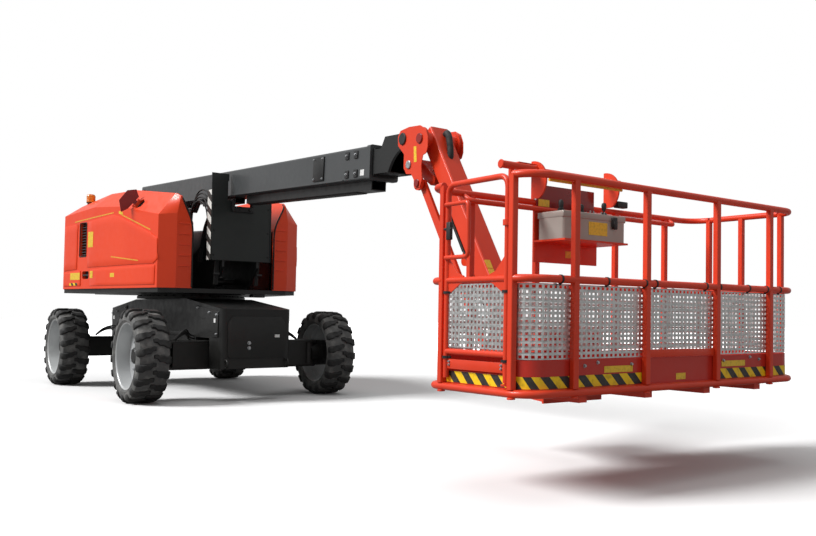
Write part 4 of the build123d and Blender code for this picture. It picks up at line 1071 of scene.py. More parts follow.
class Platform(Assembly):
    """Perforated sheets, toe boards, ties, gate, console and guard of the platform."""

    basket = Basket()
    gate_back, gate_front, gate_y = 7270.7, 7802.7, -1219.0

    @staticmethod
    def perforated(columns: int, rows: int, width: float, height: float, hole: float) -> bpy.types.Object:
        """A flat sheet of square holes from the origin, its width along X and height along Y."""
        Bench.clear()
        bpy.ops.mesh.primitive_grid_add(x_subdivisions=columns, y_subdivisions=rows, size=1)
        sheet = bpy.context.object
        for vertex in sheet.data.vertices:
            vertex.co = ((vertex.co.x + 0.5) * width, (vertex.co.y + 0.5) * height, 0)
        Bench.edit(sheet)
        bpy.ops.mesh.inset(thickness=(min(width / columns, height / rows) - hole) / 2, use_individual=True)
        bpy.ops.mesh.delete(type="FACE")
        bpy.ops.object.mode_set(mode="OBJECT")
        return sheet

    def wrapped(self, piece: bpy.types.Object, start: float, low: float, inset: float) -> None:
        """Bends a flat piece, in metres, along the platform's outline."""
        for vertex in piece.data.vertices:
            x, y = self.basket.wrap(start + vertex.co.x * 1000, inset + vertex.co.z * 1000)
            vertex.co = at(x, y, low + vertex.co.y * 1000)
        Bench.outward(piece)

    def sheets(self) -> None:
        """Perforated zinc sheets between the posts."""
        stands = self.basket.posts
        high = (self.basket.sheet_high - self.basket.sheet_low) / 1000
        made = []
        for start, end in zip(stands, stands[1:]):
            width = (end - start - 3) / 1000
            sheet = self.perforated(round(width / 0.0345), 13, width, high, self.basket.hole)
            Bench.shape(sheet, "SOLIDIFY", thickness=self.basket.sheet, offset=0)
            self.wrapped(sheet, start + 1.5, self.basket.sheet_low, 21)
            made.append(sheet)
        sheet = self.dress(Bench.join(made), "perforated_sheets", "platform", "zinc_sheet")
        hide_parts("mesh_sheets")

    def strip(self, start: float, end: float, low: float, high: float, inset: float, name: str,
              finish: str) -> None:
        """A thin strip along the outline."""
        Bench.clear()
        bpy.ops.mesh.primitive_grid_add(x_subdivisions=max(2, round((end - start) / 22)), y_subdivisions=1,
                                        size=1)
        strip = bpy.context.object
        for vertex in strip.data.vertices:
            vertex.co = ((vertex.co.x + 0.5) * (end - start) / 1000,
                         (vertex.co.y + 0.5) * (high - low) / 1000, 0)
        Bench.shape(strip, "SOLIDIFY", thickness=0.001, offset=0)
        self.wrapped(strip, start, low, inset)
        self.dress(strip, name, "platform", finish)

    def toe_boards(self) -> None:
        """Stripes, labels and bolts of the toe boards, with the gate sill and the centre bay bar."""
        stands = self.basket.posts
        bays = [(stands[0] + 22, stands[1] - 20, "corner"), (stands[1] + 20, stands[2] - 20, "right"),
                (stands[3] + 20, stands[4] - 20, "left"), (stands[4] + 20, stands[5] - 4, "far_corner"),
                (stands[5] + 4, stands[6], "far_side")]
        for start, end, name in bays:
            self.strip(start, end, 601, 664, 18.4, f"toe_stripes_{name}", "stripes_round")
        for y0, y1, low, high, name in ((-650, -420, 672, 708, "a"), (-40, 48, 612, 650, "b"),
                                        (402, 648, 676, 712, "c")):
            face = upright((7958.2, y0, low), (7958.2, y1, high))
            self.dress(Bench.plate(face, Vector((0.001, 0, 0)), 0.0004), f"toe_label_{name}", "platform",
                       "label_yellow")
        sill = Bench.block(at(7246.5, -1200, 597.5), at(7827, -1196.5, 668), 0.001)
        self.dress(sill, "gate_sill", "platform", "toe_red")
        face = upright((7249, -1201, 602), (7824, -1201, 664))
        self.dress(Bench.plate(face, Vector((0, 0.001, 0)), 0.0003), "gate_sill_stripes", "platform",
                   "stripes_round")
        bar = Bench.block(at(7957.5, -305, 750), at(7975, 305, 792), 0.003)
        self.dress(bar, "centre_bay_bar", "platform", "rail_orange")
        spots = [at(7957.6, y, 714) for y in (-800, -430, 420, 800)] + [at(7957.6, y, 730)
                                                                        for y in (-700, 700)]
        self.dress(Bench.bolts(0.008, spots, AHEAD), "toe_board_bolts", "platform", "zinc_bolt")

    def band(self, radius: float, width: float) -> bpy.types.Object:
        """One black tie: a band round a tube along Z, with its ratchet head."""
        ring = Bench.turned([(-width / 2, radius), (-width / 2, radius + 0.003), (width / 2, radius + 0.003),
                             (width / 2, radius)], Vector(), UP, 20)
        head = Bench.block(Vector((radius + 0.001, -0.006, -0.007)), Vector((radius + 0.011, 0.006, 0.007)),
                           0.0015, 1)
        return Bench.join([ring, head])

    def ties(self) -> None:
        """Black ties that hold the sheets to the mid rail and the gate's posts."""
        rail = Matrix.Rotation(math.radians(-90), 4, "X")
        spots = [(7976.7, y) for y in (-1000, -655, -345, -255, 210, 345, 650, 850, 1000)]
        spots += [(7059.7, y) for y in (-1000, -600, -200, 300, 620, 1000)]
        along = [Matrix.Translation(at(x, y, 1173)) @ rail @ Matrix.Rotation(math.radians(100), 4, "Z")
                 for x, y in spots]
        self.dress(Bench.copies(self.band(0.0215, 0.012), along), "mid_rail_ties", "platform",
                   "moulded_black")
        tubes = [Matrix.Translation(at(x, -1219, z)) for x in (7275.5, 7798) for z in (1105, 742)]
        self.dress(Bench.copies(self.band(0.0215, 0.014), tubes), "gate_ties", "gate", "moulded_black")
        caps = []
        for x, y in [(7976.7, s * y) for s in (-1, 1) for y in (895, 326)] + [(7846.7, -1219),
                                                                              (7226.7, -1219)]:
            caps.append(Bench.turned([(0, 0), (0, 0.019), (0.004, 0.0225), (0.010, 0.0225), (0.013, 0.0)],
                                     at(x, y, 557), Vector((0, 0, -1)), 18))
        feet = Bench.join(caps)
        self.dress(feet, "post_feet", "platform", "rail_orange")

    def gate(self) -> None:
        """The gate: bent tube, bars, gussets, handle and its own perforated sheet."""
        back, front, y = self.gate_back, self.gate_front, self.gate_y
        arch = Bench.tube(rounded([at(back, y, 628), at(back, y, 1714), at(front, y, 1714),
                                   at(front, y, 628)], 0.07), 0.017)
        bars = [Bench.bar(at(back, y, z), at(front, y, z), 0.0165) for z in (1173, 774)]
        toe = Bench.block(at(back + 4, y - 4, 678), at(front - 4, y + 4, 732), 0.002)
        frame_piece = self.dress(Bench.join([arch, *bars, toe]), "gate_frame", "gate", "rail_orange")
        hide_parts("side_gate")
        plates = []
        for x, way in ((back, 1), (front, -1)):
            corners = [(0, 1290), (22, 1290), (96, 1215), (158, 1195), (160, 1158), (120, 1148), (30, 1098),
                       (0, 1098)]
            plates.append(Bench.plate([at(x + way * dx, y - 4, z) for dx, z in corners],
                                      Vector((0, 0.008, 0)), 0.0015))
        self.dress(Bench.join(plates), "gate_gussets", "gate", "rail_orange")
        loop = [at(back + 12, y - 24, 1600), at(back + 222, y - 24, 1600), at(back + 222, y - 24, 1300),
                at(back + 12, y - 24, 1300)]
        grip = Bench.tube(rounded([at(back, y - 10, 1600), loop[0], loop[1], loop[2], loop[3],
                                   at(back, y - 10, 1300)][1:-1], 0.03),
                          0.0125)
        ends = [Bench.bar(at(back + 12, y - 24, z), at(back, y - 8, z), 0.0125) for z in (1600, 1300)]
        self.dress(Bench.join([grip, *ends]), "gate_handle", "gate", "rail_orange")
        width, height = (front - back - 38) / 1000, 0.352
        sheet = self.perforated(15, 11, width, height, self.basket.hole)
        for place, way in (((0, height - 0.055, 0), (-1, 1, 0)), ((width, height - 0.055, 0), (1, 1, 0))):
            Bench.edit(sheet)
            bpy.ops.mesh.bisect(plane_co=place, plane_no=way, clear_outer=True)
            bpy.ops.object.mode_set(mode="OBJECT")
        Bench.shape(sheet, "SOLIDIFY", thickness=self.basket.sheet, offset=0)
        sheet.data.transform(Matrix.Translation(at(back + 19, y, 798)) @ Matrix.Rotation(math.radians(90), 4,
                                                                                         "X"))
        Bench.outward(sheet)
        self.dress(sheet, "gate_sheet", "gate", "zinc_sheet")
        latch = Bench.block(at(back + 19, y - 30, 1400), at(back + 56, y - 8, 1500), 0.004)
        bolt = Bench.bar(at(back - 4, y - 22, 1462), at(back + 66, y - 22, 1462), 0.007)
        self.dress(Bench.join([latch, bolt]), "gate_latch", "gate", "moulded_black")
        spots = [at(x, y - 5, z) for x in (back + 34, front - 34) for z in (700, 718)]
        self.dress(Bench.bolts(0.006, spots, Vector((0, -1, 0))), "gate_bolts", "gate", "zinc_bolt")

    def console(self) -> None:
        """Latches, lid seam, levers, switches and blank labels of the control box."""
        top, front = 1634.5, 7359.7
        lid = Bench.block(at(7117.5, -412.5, 1598), at(front + 3, 152.5, 1640), 0.006, 3)
        self.dress(lid, "console_lid", "platform", "case_silver")
        made = []
        for y in (-300, 40):
            made.append(Bench.block(at(front, y - 24, 1560), at(front + 16, y + 24, 1628), 0.006, 3))
            made.append(Bench.block(at(front + 14, y - 15, 1548), at(front + 24, y + 15, 1600), 0.004, 2))
            made.append(Bench.bar(at(front + 10, y - 20, 1556), at(front + 10, y + 20, 1556), 0.006, 0.001,
                                  12))
        self.dress(Bench.join(made), "console_latches", "platform", "moulded_black")
        face = upright((front + 1, -190, 1500), (front + 1, -20, 1585))
        self.dress(Bench.plate(face, Vector((0.001, 0, 0)), 0.0004), "console_label", "platform",
                   "label_yellow")
        for number, (y, high) in enumerate(((-330, 1706), (-150, 1694), (60, 1722))):
            boot = Bench.turned([(0, 0.0), (0, 0.030), (0.005, 0.030), (0.010, 0.023), (0.015, 0.025),
                                 (0.020, 0.018),
                                 (0.025, 0.020), (0.032, 0.011), (0.034, 0.0)], at(7250, y, top + 5), UP, 24)
            grip = Bench.turned([(0, 0.0), (0, 0.010), (0.01, 0.015), (0.034, 0.018), (0.05, 0.014),
                                 (0.056, 0.0)],
                                at(7250, y, high - 40), UP, 20)
            stick = Bench.bar(at(7250, y, top + 30), at(7250, y, high - 36), 0.006, 0.001, 12)
            self.dress(Bench.join([boot, grip, stick]), f"console_lever_{number}", "platform",
                       "moulded_black")
        stop = Bench.turned([(0, 0.0), (0, 0.012), (0.012, 0.012), (0.012, 0.024), (0.022, 0.024),
                             (0.026, 0.018), (0.027, 0.0)],
                            at(7200, -60, top + 5), UP, 24)
        self.dress(stop, "console_stop_button", "platform", "knob_red")
        toggles = []
        for x in (7180, 7230, 7300):
            for y in (-120, -90, -20, 10):
                toggles.append(Bench.turned([(0, 0.0), (0, 0.008), (0.005, 0.008), (0.006, 0.004),
                                             (0.024, 0.005), (0.026, 0.0)],
                                            at(x, y, top + 5), Vector((0.2, 0, 1)), 10))
        self.dress(Bench.join(toggles), "console_switches", "platform", "zinc_bolt")
        self.dress(Bench.plate(upright((7091.6, -140, 1365), (7091.6, -50, 1410)),
                                     Vector((0.001, 0, 0)), 0.0004), "tray_label", "platform", "label_yellow")
        self.dress(Bench.plate(upright((7091.6, -345, 1645), (7091.6, -250, 1668)),
                                     Vector((0.001, 0, 0)),
                                     0.0004), "tray_back_label", "platform", "label_yellow")
        panel = Bench.block(at(7080, -395, 1672), at(7088, 130, 1830), 0.004)
        self.dress(panel, "console_back_panel", "platform", "dark_red")
        mark = Bench.block(at(7088.5, -380, 1690), at(7089.6, -285, 1735), 0.0003, 1)
        self.dress(mark, "console_back_label", "platform", "label_yellow")

    def guard(self) -> None:
        """The end tube, crown and brace over the console, and the grab rail behind it."""
        tube = Bench.bar(at(7090, -690, 1925), at(7090, -406, 1925), 0.0245, 0.004)
        cap = Bench.bar(at(7090, -702, 1925), at(7090, -690, 1925), 0.029, 0.004)
        crown = Bench.block(at(6960, -560, 1948), at(7100, -360, 1956), 0.003)
        brace = Bench.tube(rounded([at(7028, -560, 1930), at(7020, -560, 1500), at(7036, -560, 1300)], 0.08),
                           0.019)
        self.dress(Bench.join([tube, cap, crown, brace]), "guard_end_tube", "platform", "rail_orange")
        grab = rounded([at(7062, -960, 1704), at(7128, -960, 1664), at(7128, 930, 1664),
                        at(7062, 930, 1704)], 0.04)
        self.dress(Bench.tube(grab, 0.0165), "grab_rail", "platform", "rail_orange")
        strip = Bench.tube([at(7955, -1070, 1690), at(7955, -520, 1690)], 0.008, order=2)
        self.dress(strip, "top_rail_strip", "platform", "trim_gold")
        lamp = Bench.block(at(7075, 330, 1742), at(7125, 430, 1786), 0.006)
        self.dress(lamp, "platform_lamp", "platform", "moulded_black")

    def build(self) -> None:
        """Builds the platform's pieces."""
        self.sheets()
        self.toe_boards()
        self.ties()
        self.gate()
        self.console()
        self.guard()


class Hoods(Assembly):
    """Pressed panels, stripes, labels, air slot, seals, filler and beacon of both hoods."""

    CLEAR = 1300
    LOUVRES = 12
    LOUVRE_PITCH = 0.034

    def side_patch(self, hand: Hand, corners: Sequence[tuple[float, float]], name: str, finish: str,
                   lift: float = 0.0008, thick: float = 0.001, edge: float = 0.0, cuts: int = 3) -> None:
        """Lays a piece on a hood's side, from its corners in side view."""
        face = [at(x, hand.value * self.CLEAR, z) for x, z in corners]
        piece = Bench.patch(f"{hand.side}_hood", face, "y", lift, thick, cuts, edge)
        self.dress(piece, f"{hand.side}_hood_{name}", f"hood_{hand.side}", finish)

    @staticmethod
    def band(start: tuple[float, float], end: tuple[float, float], width: float) -> list[tuple[float, float]]:
        """The corners of a slanting strip."""
        return [start, end, (end[0], end[1] - width), (start[0], start[1] - width)]

    def panels(self) -> None:
        """Raised panels with chamfered edges, and gold stripes over them."""
        front = [(-390, 1500), (-390, 2062), (213, 2108), (380, 2074), (1030, 1864), (1190, 1790),
                 (1204, 1560), (1120, 1512), (777, 1512)]
        back = [(-1030, 1468), (-1030, 2030), (-680, 2046), (-680, 1484)]
        low = [(-1030, 1275), (-1030, 1445), (-850, 1448), (-570, 1468), (-570, 1275)]
        low_front = [(-320, 1275), (-320, 1472), (777, 1490), (1150, 1490), (1150, 1275)]
        for hand in Hand:
            for number, corners in enumerate((front, back, low, low_front)):
                self.side_patch(hand, corners, f"panel_{number}", "hood_orange", 0.0002, 0.007, 0.0055, 5)
            self.side_patch(hand, self.band((-763, 2082), (213, 2142), 13), "stripe_back", "trim_gold")
            self.side_patch(hand, self.band((398, 2106), (1038, 1900), 13), "stripe_front", "trim_gold")
        self.side_patch(Hand.RIGHT, [(330, 2118), (420, 2092), (420, 2128), (330, 2150)], "label_top",
                        "label_yellow")

    def raised(self, hand: Hand, corners: Sequence[tuple[float, float]], name: str, finish: str) -> None:
        """Lays a label over a raised panel."""
        self.side_patch(hand, corners, name, finish, 0.0076, 0.0008)

    def labels(self) -> None:
        """Blank labels and the small striped mark on the right hood."""
        boxes = {"label_slot": (-385, 1745, -255, 1934), "label_low_back": (-838, 1352, -580, 1440),
                 "label_low_mid": (-312, 1369, -240, 1455), "label_low_front": (178, 1372, 273, 1421)}
        for name, (x0, z0, x1, z1) in boxes.items():
            self.raised(Hand.RIGHT, [(x0, z0), (x1, z0), (x1, z1), (x0, z1)], name, "label_yellow")
        self.raised(Hand.RIGHT, [(-858, 1282), (-640, 1282), (-640, 1314), (-858, 1314)], "mark_low",
                    "stripes_round")
        self.raised(Hand.RIGHT, [(187, 1620), (800, 1558), (800, 1546), (187, 1608)], "stripe_low",
                    "trim_gold")
        self.raised(Hand.LEFT, [(-312, 1369), (-240, 1369), (-240, 1455), (-312, 1455)], "label_low",
                    "label_yellow")

    def slot(self) -> None:
        """Louvre slats and a rubber lip in the air slot, and the bar in the hand hole."""
        slat = Bench.plate([at(-616, -1158, 1655), at(-444, -1128, 1655), at(-444, -1104, 1672),
                            at(-616, -1134, 1672)],
                           Vector((0, 0.0015, 0.002)), 0.0005)
        rows = [Matrix.Translation(UP * self.LOUVRE_PITCH * n) for n in range(self.LOUVRES)]
        self.dress(Bench.copies(slat, rows), "right_hood_louvres", "hood_right", "moulded_black")
        lip = rounded([at(-530, -1157.5, 1635), at(-620, -1173, 1635), at(-620, -1173, 2055),
                       at(-440, -1143, 2055), at(-440, -1143, 1635), at(-530, -1157.5, 1635)], 0.022)
        self.dress(Bench.tube(lip, 0.005), "right_hood_slot_lip", "hood_right", "moulded_black")
        grip = Bench.bar(at(-528, -1143, 1405), at(-362, -1115, 1405), 0.011, 0.003, 16)
        pocket = Bench.plate([at(-534, -1118, 1356), at(-356, -1088, 1356), at(-356, -1088, 1458),
                              at(-534, -1118, 1458)],
                             Vector((0, 0.004, 0)), 0.001)
        self.dress(Bench.join([grip, pocket]), "right_hood_handle", "hood_right", "moulded_black")

    def seals(self) -> None:
        """Black rubber seals round the cut front ends, and ribs on the front faces."""
        for hand in Hand:
            s = hand.value
            run = [at(1304, s * 484, 1250), at(1304, s * 484, 1700), at(1304, s * 484, 1976),
                   at(1304, s * 560, 2150), at(1304, s * 614, 2271), at(1240, s * 616, 2290)]
            seal = Bench.tube(run, 0.009, order=3)
            self.dress(seal, f"{hand.side}_hood_seal", f"hood_{hand.side}", "hose_rubber")
            for number, z in enumerate((1480, 1600, 1720, 1840, 1960)):
                face = [at(1360, s * y, z + d) for y, d in ((510, 0), (640, 0), (640, 12), (510, 12))]
                rib = Bench.patch(f"{hand.side}_hood", face, "x", 0.0002, 0.005, 2, 0.003)
                self.dress(rib, f"{hand.side}_hood_rib_{number}", f"hood_{hand.side}", "hood_orange")

    def filler(self) -> None:
        """The filler cap in its bowl, under the open lid."""
        out = Vector((0, -0.7793, 0.6266))
        mouth = at(685, -890.5, 2226.8)
        bowl = Bench.turned([(-0.085, 0.0), (-0.082, 0.058), (-0.032, 0.0595), (-0.032, 0.0565),
                             (-0.079, 0.054), (-0.079, 0.0)],
                            mouth, out, 32)
        cap = Bench.turned([(-0.08, 0.0), (-0.08, 0.036), (-0.055, 0.038), (-0.05, 0.034), (-0.049, 0.012),
                            (-0.04, 0.010), (-0.039, 0.0)], mouth, out, 24)
        self.dress(Bench.join([bowl, cap]), "filler_cap", "hood_right", "moulded_black")

    def beacon(self) -> None:
        """The amber beacon: a black foot and a ribbed lens."""
        foot = at(-950, -975, 2332)
        base = Bench.turned([(0, 0), (0, 0.040), (0.018, 0.040), (0.022, 0.052), (0.030, 0.053),
                             (0.030, 0.0)], foot, UP, 40)
        self.dress(base, "beacon_foot", "hood_right", "moulded_black")
        rings = [(0.031, 0.0), (0.031, 0.050)]
        for step in range(6):
            z = 0.036 + step * 0.013
            rings += [(z, 0.0505), (z + 0.006, 0.0525), (z + 0.011, 0.0505)]
        rings += [(0.118, 0.049), (0.130, 0.042), (0.136, 0.028), (0.1375, 0.0)]
        lens = self.dress(Bench.turned(rings, foot, UP, 48), "beacon_lens", "hood_right", "lens_amber")
        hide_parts("beacon")

    def build(self) -> None:
        """Builds the hoods' pieces."""
        self.panels()
        self.labels()
        self.slot()
        self.seals()
        self.filler()
        self.beacon()


class Turntable(Assembly):
    """Shield, bracket, hoses and counterweight details of the turntable."""

    RING_BOLTS = 36
    RING_RADIUS = 622

    def shield(self) -> None:
        """Striped flange, folded edge and bracket of the front shield."""
        for hand in Hand:
            y = hand.value * 355.4
            face = upright((1384, y, 1566), (1497, y, 2356))
            strip = Bench.plate(face, Vector((0, hand.value * 0.001, 0)), 0.0004)
            self.dress(strip, f"shield_stripes_{hand.side}", "turntable", "stripes_post")
        bracket = [Bench.block(at(1500.4, -132, 2122), at(1540, 132, 2184), 0.006),
                   Bench.block(at(1500.4, -132, 2175), at(1540, -98, 2266), 0.005),
                   Bench.block(at(1500.4, 98, 2175), at(1540, 132, 2266), 0.005),
                   Bench.bar(at(1540, -80, 2153), at(1556, -80, 2153), 0.02, 0.003),
                   Bench.bar(at(1540, 80, 2153), at(1556, 80, 2153), 0.02, 0.003)]
        self.dress(Bench.join(bracket), "shield_bracket", "turntable", "moulded_black")
        rim = []
        for y in (-350, 338):
            rim.append(Bench.block(at(1500.4, y, 1562), at(1506, y + 12, 2356), 0.002))
        rim.append(Bench.block(at(1500.4, -350, 1562), at(1506, 350, 1574), 0.002))
        self.dress(Bench.join(rim), "shield_fold", "turntable", "shield_grey")
        spots = [at(1500.5, y, z) for y in (-318, 318) for z in (1620, 1900, 2180)]
        self.dress(Bench.bolts(0.008, spots, AHEAD), "shield_bolts", "turntable", "turntable_black")

    def hoses(self) -> None:
        """Black hoses that loop from the frame plates to the tower's foot, with their clamps."""
        made = []
        for number, hand in enumerate((-1, -1, -1, 1, 1)):
            y = hand * (228 + 17 * (number % 3))
            top = 2150 - 60 * (number % 3)
            made.append(Bench.tube([at(900, y, 1560), at(960, y, 1760), at(1080, y, top),
                                    at(1260, y, top + 60),
                                    at(1400, y, top - 60), at(1430, y, 1800), at(1420, y, 1500),
                                    at(1380, y, 1290)], 0.0115))
        for number in range(4):
            y, top = -222 - 14 * number, 2440 - 46 * number
            made.append(Bench.tube([at(1130, -226, 1830), at(1160, y, 2050), at(1090, y, top - 90),
                                    at(900, y, top),
                                    at(690, y, top - 30), at(560, y, top - 190), at(520, y, 2020),
                                    at(500, y, 1600)], 0.009))
        self.dress(Bench.join(made), "tower_foot_hoses", "turntable", "hose_rubber")
        clamps = []
        for hand in (-1, 1):
            clamps.append(Bench.block(at(1405, hand * 216, 1640), at(1455, hand * 284, 1662), 0.004))
            clamps.append(Bench.block(at(1395, hand * 216, 1400), at(1440, hand * 284, 1422), 0.004))
        self.dress(Bench.join(clamps), "hose_clamps", "turntable", "moulded_black")

    def frame(self) -> None:
        """Pin retainers, lower box and counterweight bolts."""
        pieces = []
        for hand in Hand:
            s = hand.value
            pieces.append(Bench.turned([(0, 0), (0, 0.062), (0.006, 0.064), (0.010, 0.058), (0.010, 0.0)],
                                       at(1180, s * 227.5, 1790), Vector((0, s, 0)), 32))
        self.dress(Bench.join(pieces), "tower_pin_caps", "turntable", "zinc_bolt")
        box = Bench.block(at(1165, 250, 1153), at(1275, 400, 1189.6), 0.006)
        self.dress(box, "deck_lower_box", "turntable", "moulded_black")
        spots = [at(-1900.5, y, z) for y in (-700, 700) for z in (1500, 1850)]
        self.dress(Bench.bolts(0.024, spots, Vector((-1, 0, 0))), "counterweight_bolts", "turntable",
                   "zinc_bolt")
        ring = []
        for n in range(self.RING_BOLTS):
            turn = math.tau * n / self.RING_BOLTS
            ring.append(at(self.RING_RADIUS * math.cos(turn), self.RING_RADIUS * math.sin(turn), 1160.2))
        self.dress(Bench.bolts(0.012, ring, UP), "slew_ring_bolts", "chassis", "chassis_black")

    def build(self) -> None:
        """Builds the turntable's pieces."""
        self.shield()
        self.hoses()
        self.frame()


class Chassis(Assembly):
    """Nose panels, side plates, tie-down rings and hoses of the chassis."""

    END = 1980.4
    SIDE = 400.4

    def nose(self) -> None:
        """Raised panel, bolts, labels and rings on both ends."""
        for way, name in ((1, "front"), (-1, "rear")):
            x = way * self.END
            corners = [(-300, 470), (-330, 500), (-330, 860), (-280, 930), (280, 930), (330, 860),
                       (330, 500), (300, 470)]
            panel = Bench.plate([at(x, y, z) for y, z in corners], Vector((way * 0.008, 0, 0)), 0.003)
            self.dress(panel, f"{name}_nose_panel", "chassis", "chassis_black")
            spots = [at(x + way * 8, -90, z) for z in (640, 585)]
            self.dress(Bench.bolts(0.016, spots, Vector((way, 0, 0))), f"{name}_nose_bolts", "chassis",
                       "zinc_bolt")
            mark = Bench.plate(upright((x + way * 8.2, 205, 700), (x + way * 8.2, 262, 732)),
                               Vector((way * 0.001, 0, 0)), 0.0003)
            self.dress(mark, f"{name}_nose_label", "chassis", "label_white")
            rings = []
            for y in (-345, 345):
                Bench.clear()
                bpy.ops.mesh.primitive_torus_add(major_radius=0.042, minor_radius=0.011, major_segments=32,
                                                 minor_segments=12)
                ring = bpy.context.object
                ring.rotation_euler = (math.radians(90), 0, 0)
                ring.location = at(x + way * 14, y, 415)
                Bench.settle(ring)
                bpy.ops.object.shade_smooth_by_angle(angle=math.radians(60))
                rings += [ring, Bench.block(at(x, y - 20, 432), at(x + way * 20, y + 20, 470), 0.004)]
            self.dress(Bench.join(rings), f"{name}_tie_rings", "chassis", "chassis_black")

    def sides(self) -> None:
        """Bolted side plates with their cut-outs, labels and wheel-motor hoses."""
        for hand in Hand:
            s = hand.value
            for way, name in ((1, "front"), (-1, "rear")):
                corners = [(1262, 1052), (1700, 1000), (1905, 980), (1905, 700), (1760, 700), (1725, 760),
                           (1620, 775), (1560, 905), (1420, 905), (1262, 1000)]
                plate = Bench.plate([at(way * x, s * self.SIDE, z) for x, z in corners],
                                    Vector((0, s * 0.010, 0)), 0.002)
                self.dress(plate, f"{name}_{hand.side}_side_plate", "chassis", "chassis_black")
                spots = [at(way * x, s * 410.4, z) for x, z in ((1310, 1020), (1660, 970), (1870, 945),
                                                                (1870, 735))]
                self.dress(Bench.bolts(0.012, spots, Vector((0, s, 0))), f"{name}_{hand.side}_plate_bolts",
                                 "chassis", "zinc_bolt")
                mark = Bench.plate(upright((way * 1790, s * 410.6, 860), (way * 1840, s * 410.6, 905)),
                                   Vector((0, s * 0.001, 0)), 0.0003)
                self.dress(mark, f"{name}_{hand.side}_plate_label", "chassis", "label_white")
                hoses = []
                for lift in (0, 30, 60):
                    hoses.append(Bench.tube([at(way * 1180, s * 392, 640 + lift),
                                             at(way * 1180, s * 450, 645 + lift),
                                             at(way * 1290, s * 520, 720 + lift),
                                             at(way * 1420, s * 600, 735 + lift / 2),
                                             at(way * 1470, s * 680, 690 + lift / 3),
                                             at(way * 1485, s * 730, 645)], 0.010))
                self.dress(Bench.join(hoses), f"{name}_{hand.side}_motor_hoses", "chassis", "hose_rubber")
        rails = []
        for hand in Hand:
            rails.append(Bench.block(at(-950, hand.value * self.SIDE, 700), at(950, hand.value * 412, 745),
                                     0.004))
        self.dress(Bench.join(rails), "chassis_side_rails", "chassis", "chassis_black")

    def build(self) -> None:
        """Builds the chassis's pieces."""
        self.nose()
        self.sides()


class Booms(Assembly):
    """Cover plate, wear pads, labels, cable carrier and pin caps of the booms."""

    PIVOT = (-1499.65, 2570.3)
    PITCH = -2.4
    FACE = 140.3
    LINKS = 60

    @classmethod
    def along(cls, reach: float, y: float, rise: float) -> Vector:
        """A place on the pitched main boom, from its pivot."""
        return pitched(cls.PIVOT, cls.PITCH, reach, y, rise)

    def boom_plate(self, reach: tuple[float, float], rise: tuple[float, float], hand: int,
                   thick: float, edge: float) -> bpy.types.Object:
        """A plate on a side of the main boom."""
        spots = ((0, 0), (1, 0), (1, 1), (0, 1))
        corners = [self.along(reach[a], self.FACE * hand, rise[b]) for a, b in spots]
        return Bench.plate(corners, Vector((0, hand * thick, 0)), edge)

    def main(self) -> None:
        """Side cover, labels, wear pads and bolts of the outer boom."""
        cover = self.boom_plate((5020, 5230), (-112, 118), -1, 0.012, 0.003)
        self.dress(cover, "boom_side_cover", "boom_outer", "turntable_black")
        spots = [self.along(r, -152.4, h) for r in (5040, 5210) for h in (-92, 98)]
        self.dress(Bench.bolts(0.008, spots, Vector((0, -1, 0))), "boom_cover_bolts", "boom_outer",
                   "zinc_bolt")
        self.dress(self.boom_plate((5905, 5972), (-112, -58), -1, 0.0008, 0.0002), "boom_label", "boom_outer",
                         "label_white")
        for hand in (-1, 1):
            side = "right" if hand < 0 else "left"
            pads = [self.boom_plate((x, x + 60), (h, h + 70), hand, 0.010, 0.002)
                    for x in (5640, 5800) for h in (-120, 50)]
            self.dress(Bench.join(pads), f"boom_pads_{side}", "boom_outer", "moulded_black")
            spots = [self.along(x + 30, hand * 150.4, h + 35) for x in (5640, 5800) for h in (-120, 50)]
            self.dress(Bench.bolts(0.010, spots, Vector((0, hand, 0))), f"boom_pad_bolts_{side}",
                       "boom_outer", "zinc_bolt")
            rail = self.boom_plate((300, 5600), (-140, -128), hand, 0.006, 0.001)
            self.dress(rail, f"boom_seam_{side}", "boom_outer", "boom_grey")

    def carrier(self) -> None:
        """The hinged cable carrier that lies under the boom in its tray."""
        link = Bench.block(self.along(3310, -58, -248), self.along(3346, 58, -212), 0.005)
        run = self.along(3350, 0, 0) - self.along(3310, 0, 0)
        rows = [Matrix.Translation(run * n) for n in range(self.LINKS)]
        self.dress(Bench.copies(link, rows), "cable_carrier", "boom_outer", "moulded_black")

    def cover(self) -> None:
        """The black hose cover under the boom's middle."""
        sides = []
        for y in (-58, 52):
            corners = [self.along(1900, y, -148.5), self.along(2950, y, -148.5), self.along(2950, y, -212),
                       self.along(1960, y, -212)]
            sides.append(Bench.plate(corners, Vector((0, 0.006, 0)), 0.001))
        low = [self.along(1960, -58, -206), self.along(2950, -58, -206), self.along(2950, 58, -206),
               self.along(1960, 58, -206)]
        sides.append(Bench.plate(low, self.along(0, 0, -6) - self.along(0, 0, 0), 0.001))
        self.dress(Bench.join(sides), "boom_hose_cover", "boom_outer", "turntable_black")

    def pins(self) -> None:
        """Capped pins at the booms' pivots."""
        for name, body, x, z, half, radius in (("boom_pivot", "upright_arm", *self.PIVOT, 188, 0.052),
                                               ("upright_foot", "upright_arm", -1499.65, 1902.3, 188, 0.050)):
            caps = [Bench.turned([(0, 0), (0, radius), (0.006, radius + 0.002), (0.010, radius - 0.006),
                                  (0.010, 0.0)],
                                 at(x, s * half, z), Vector((0, s, 0)), 32) for s in (-1, 1)]
            self.dress(Bench.join(caps), f"{name}_caps", body, "zinc_bolt")

    def build(self) -> None:
        """Builds the booms' pieces."""
        self.main()
        self.carrier()
        self.cover()
        self.pins()


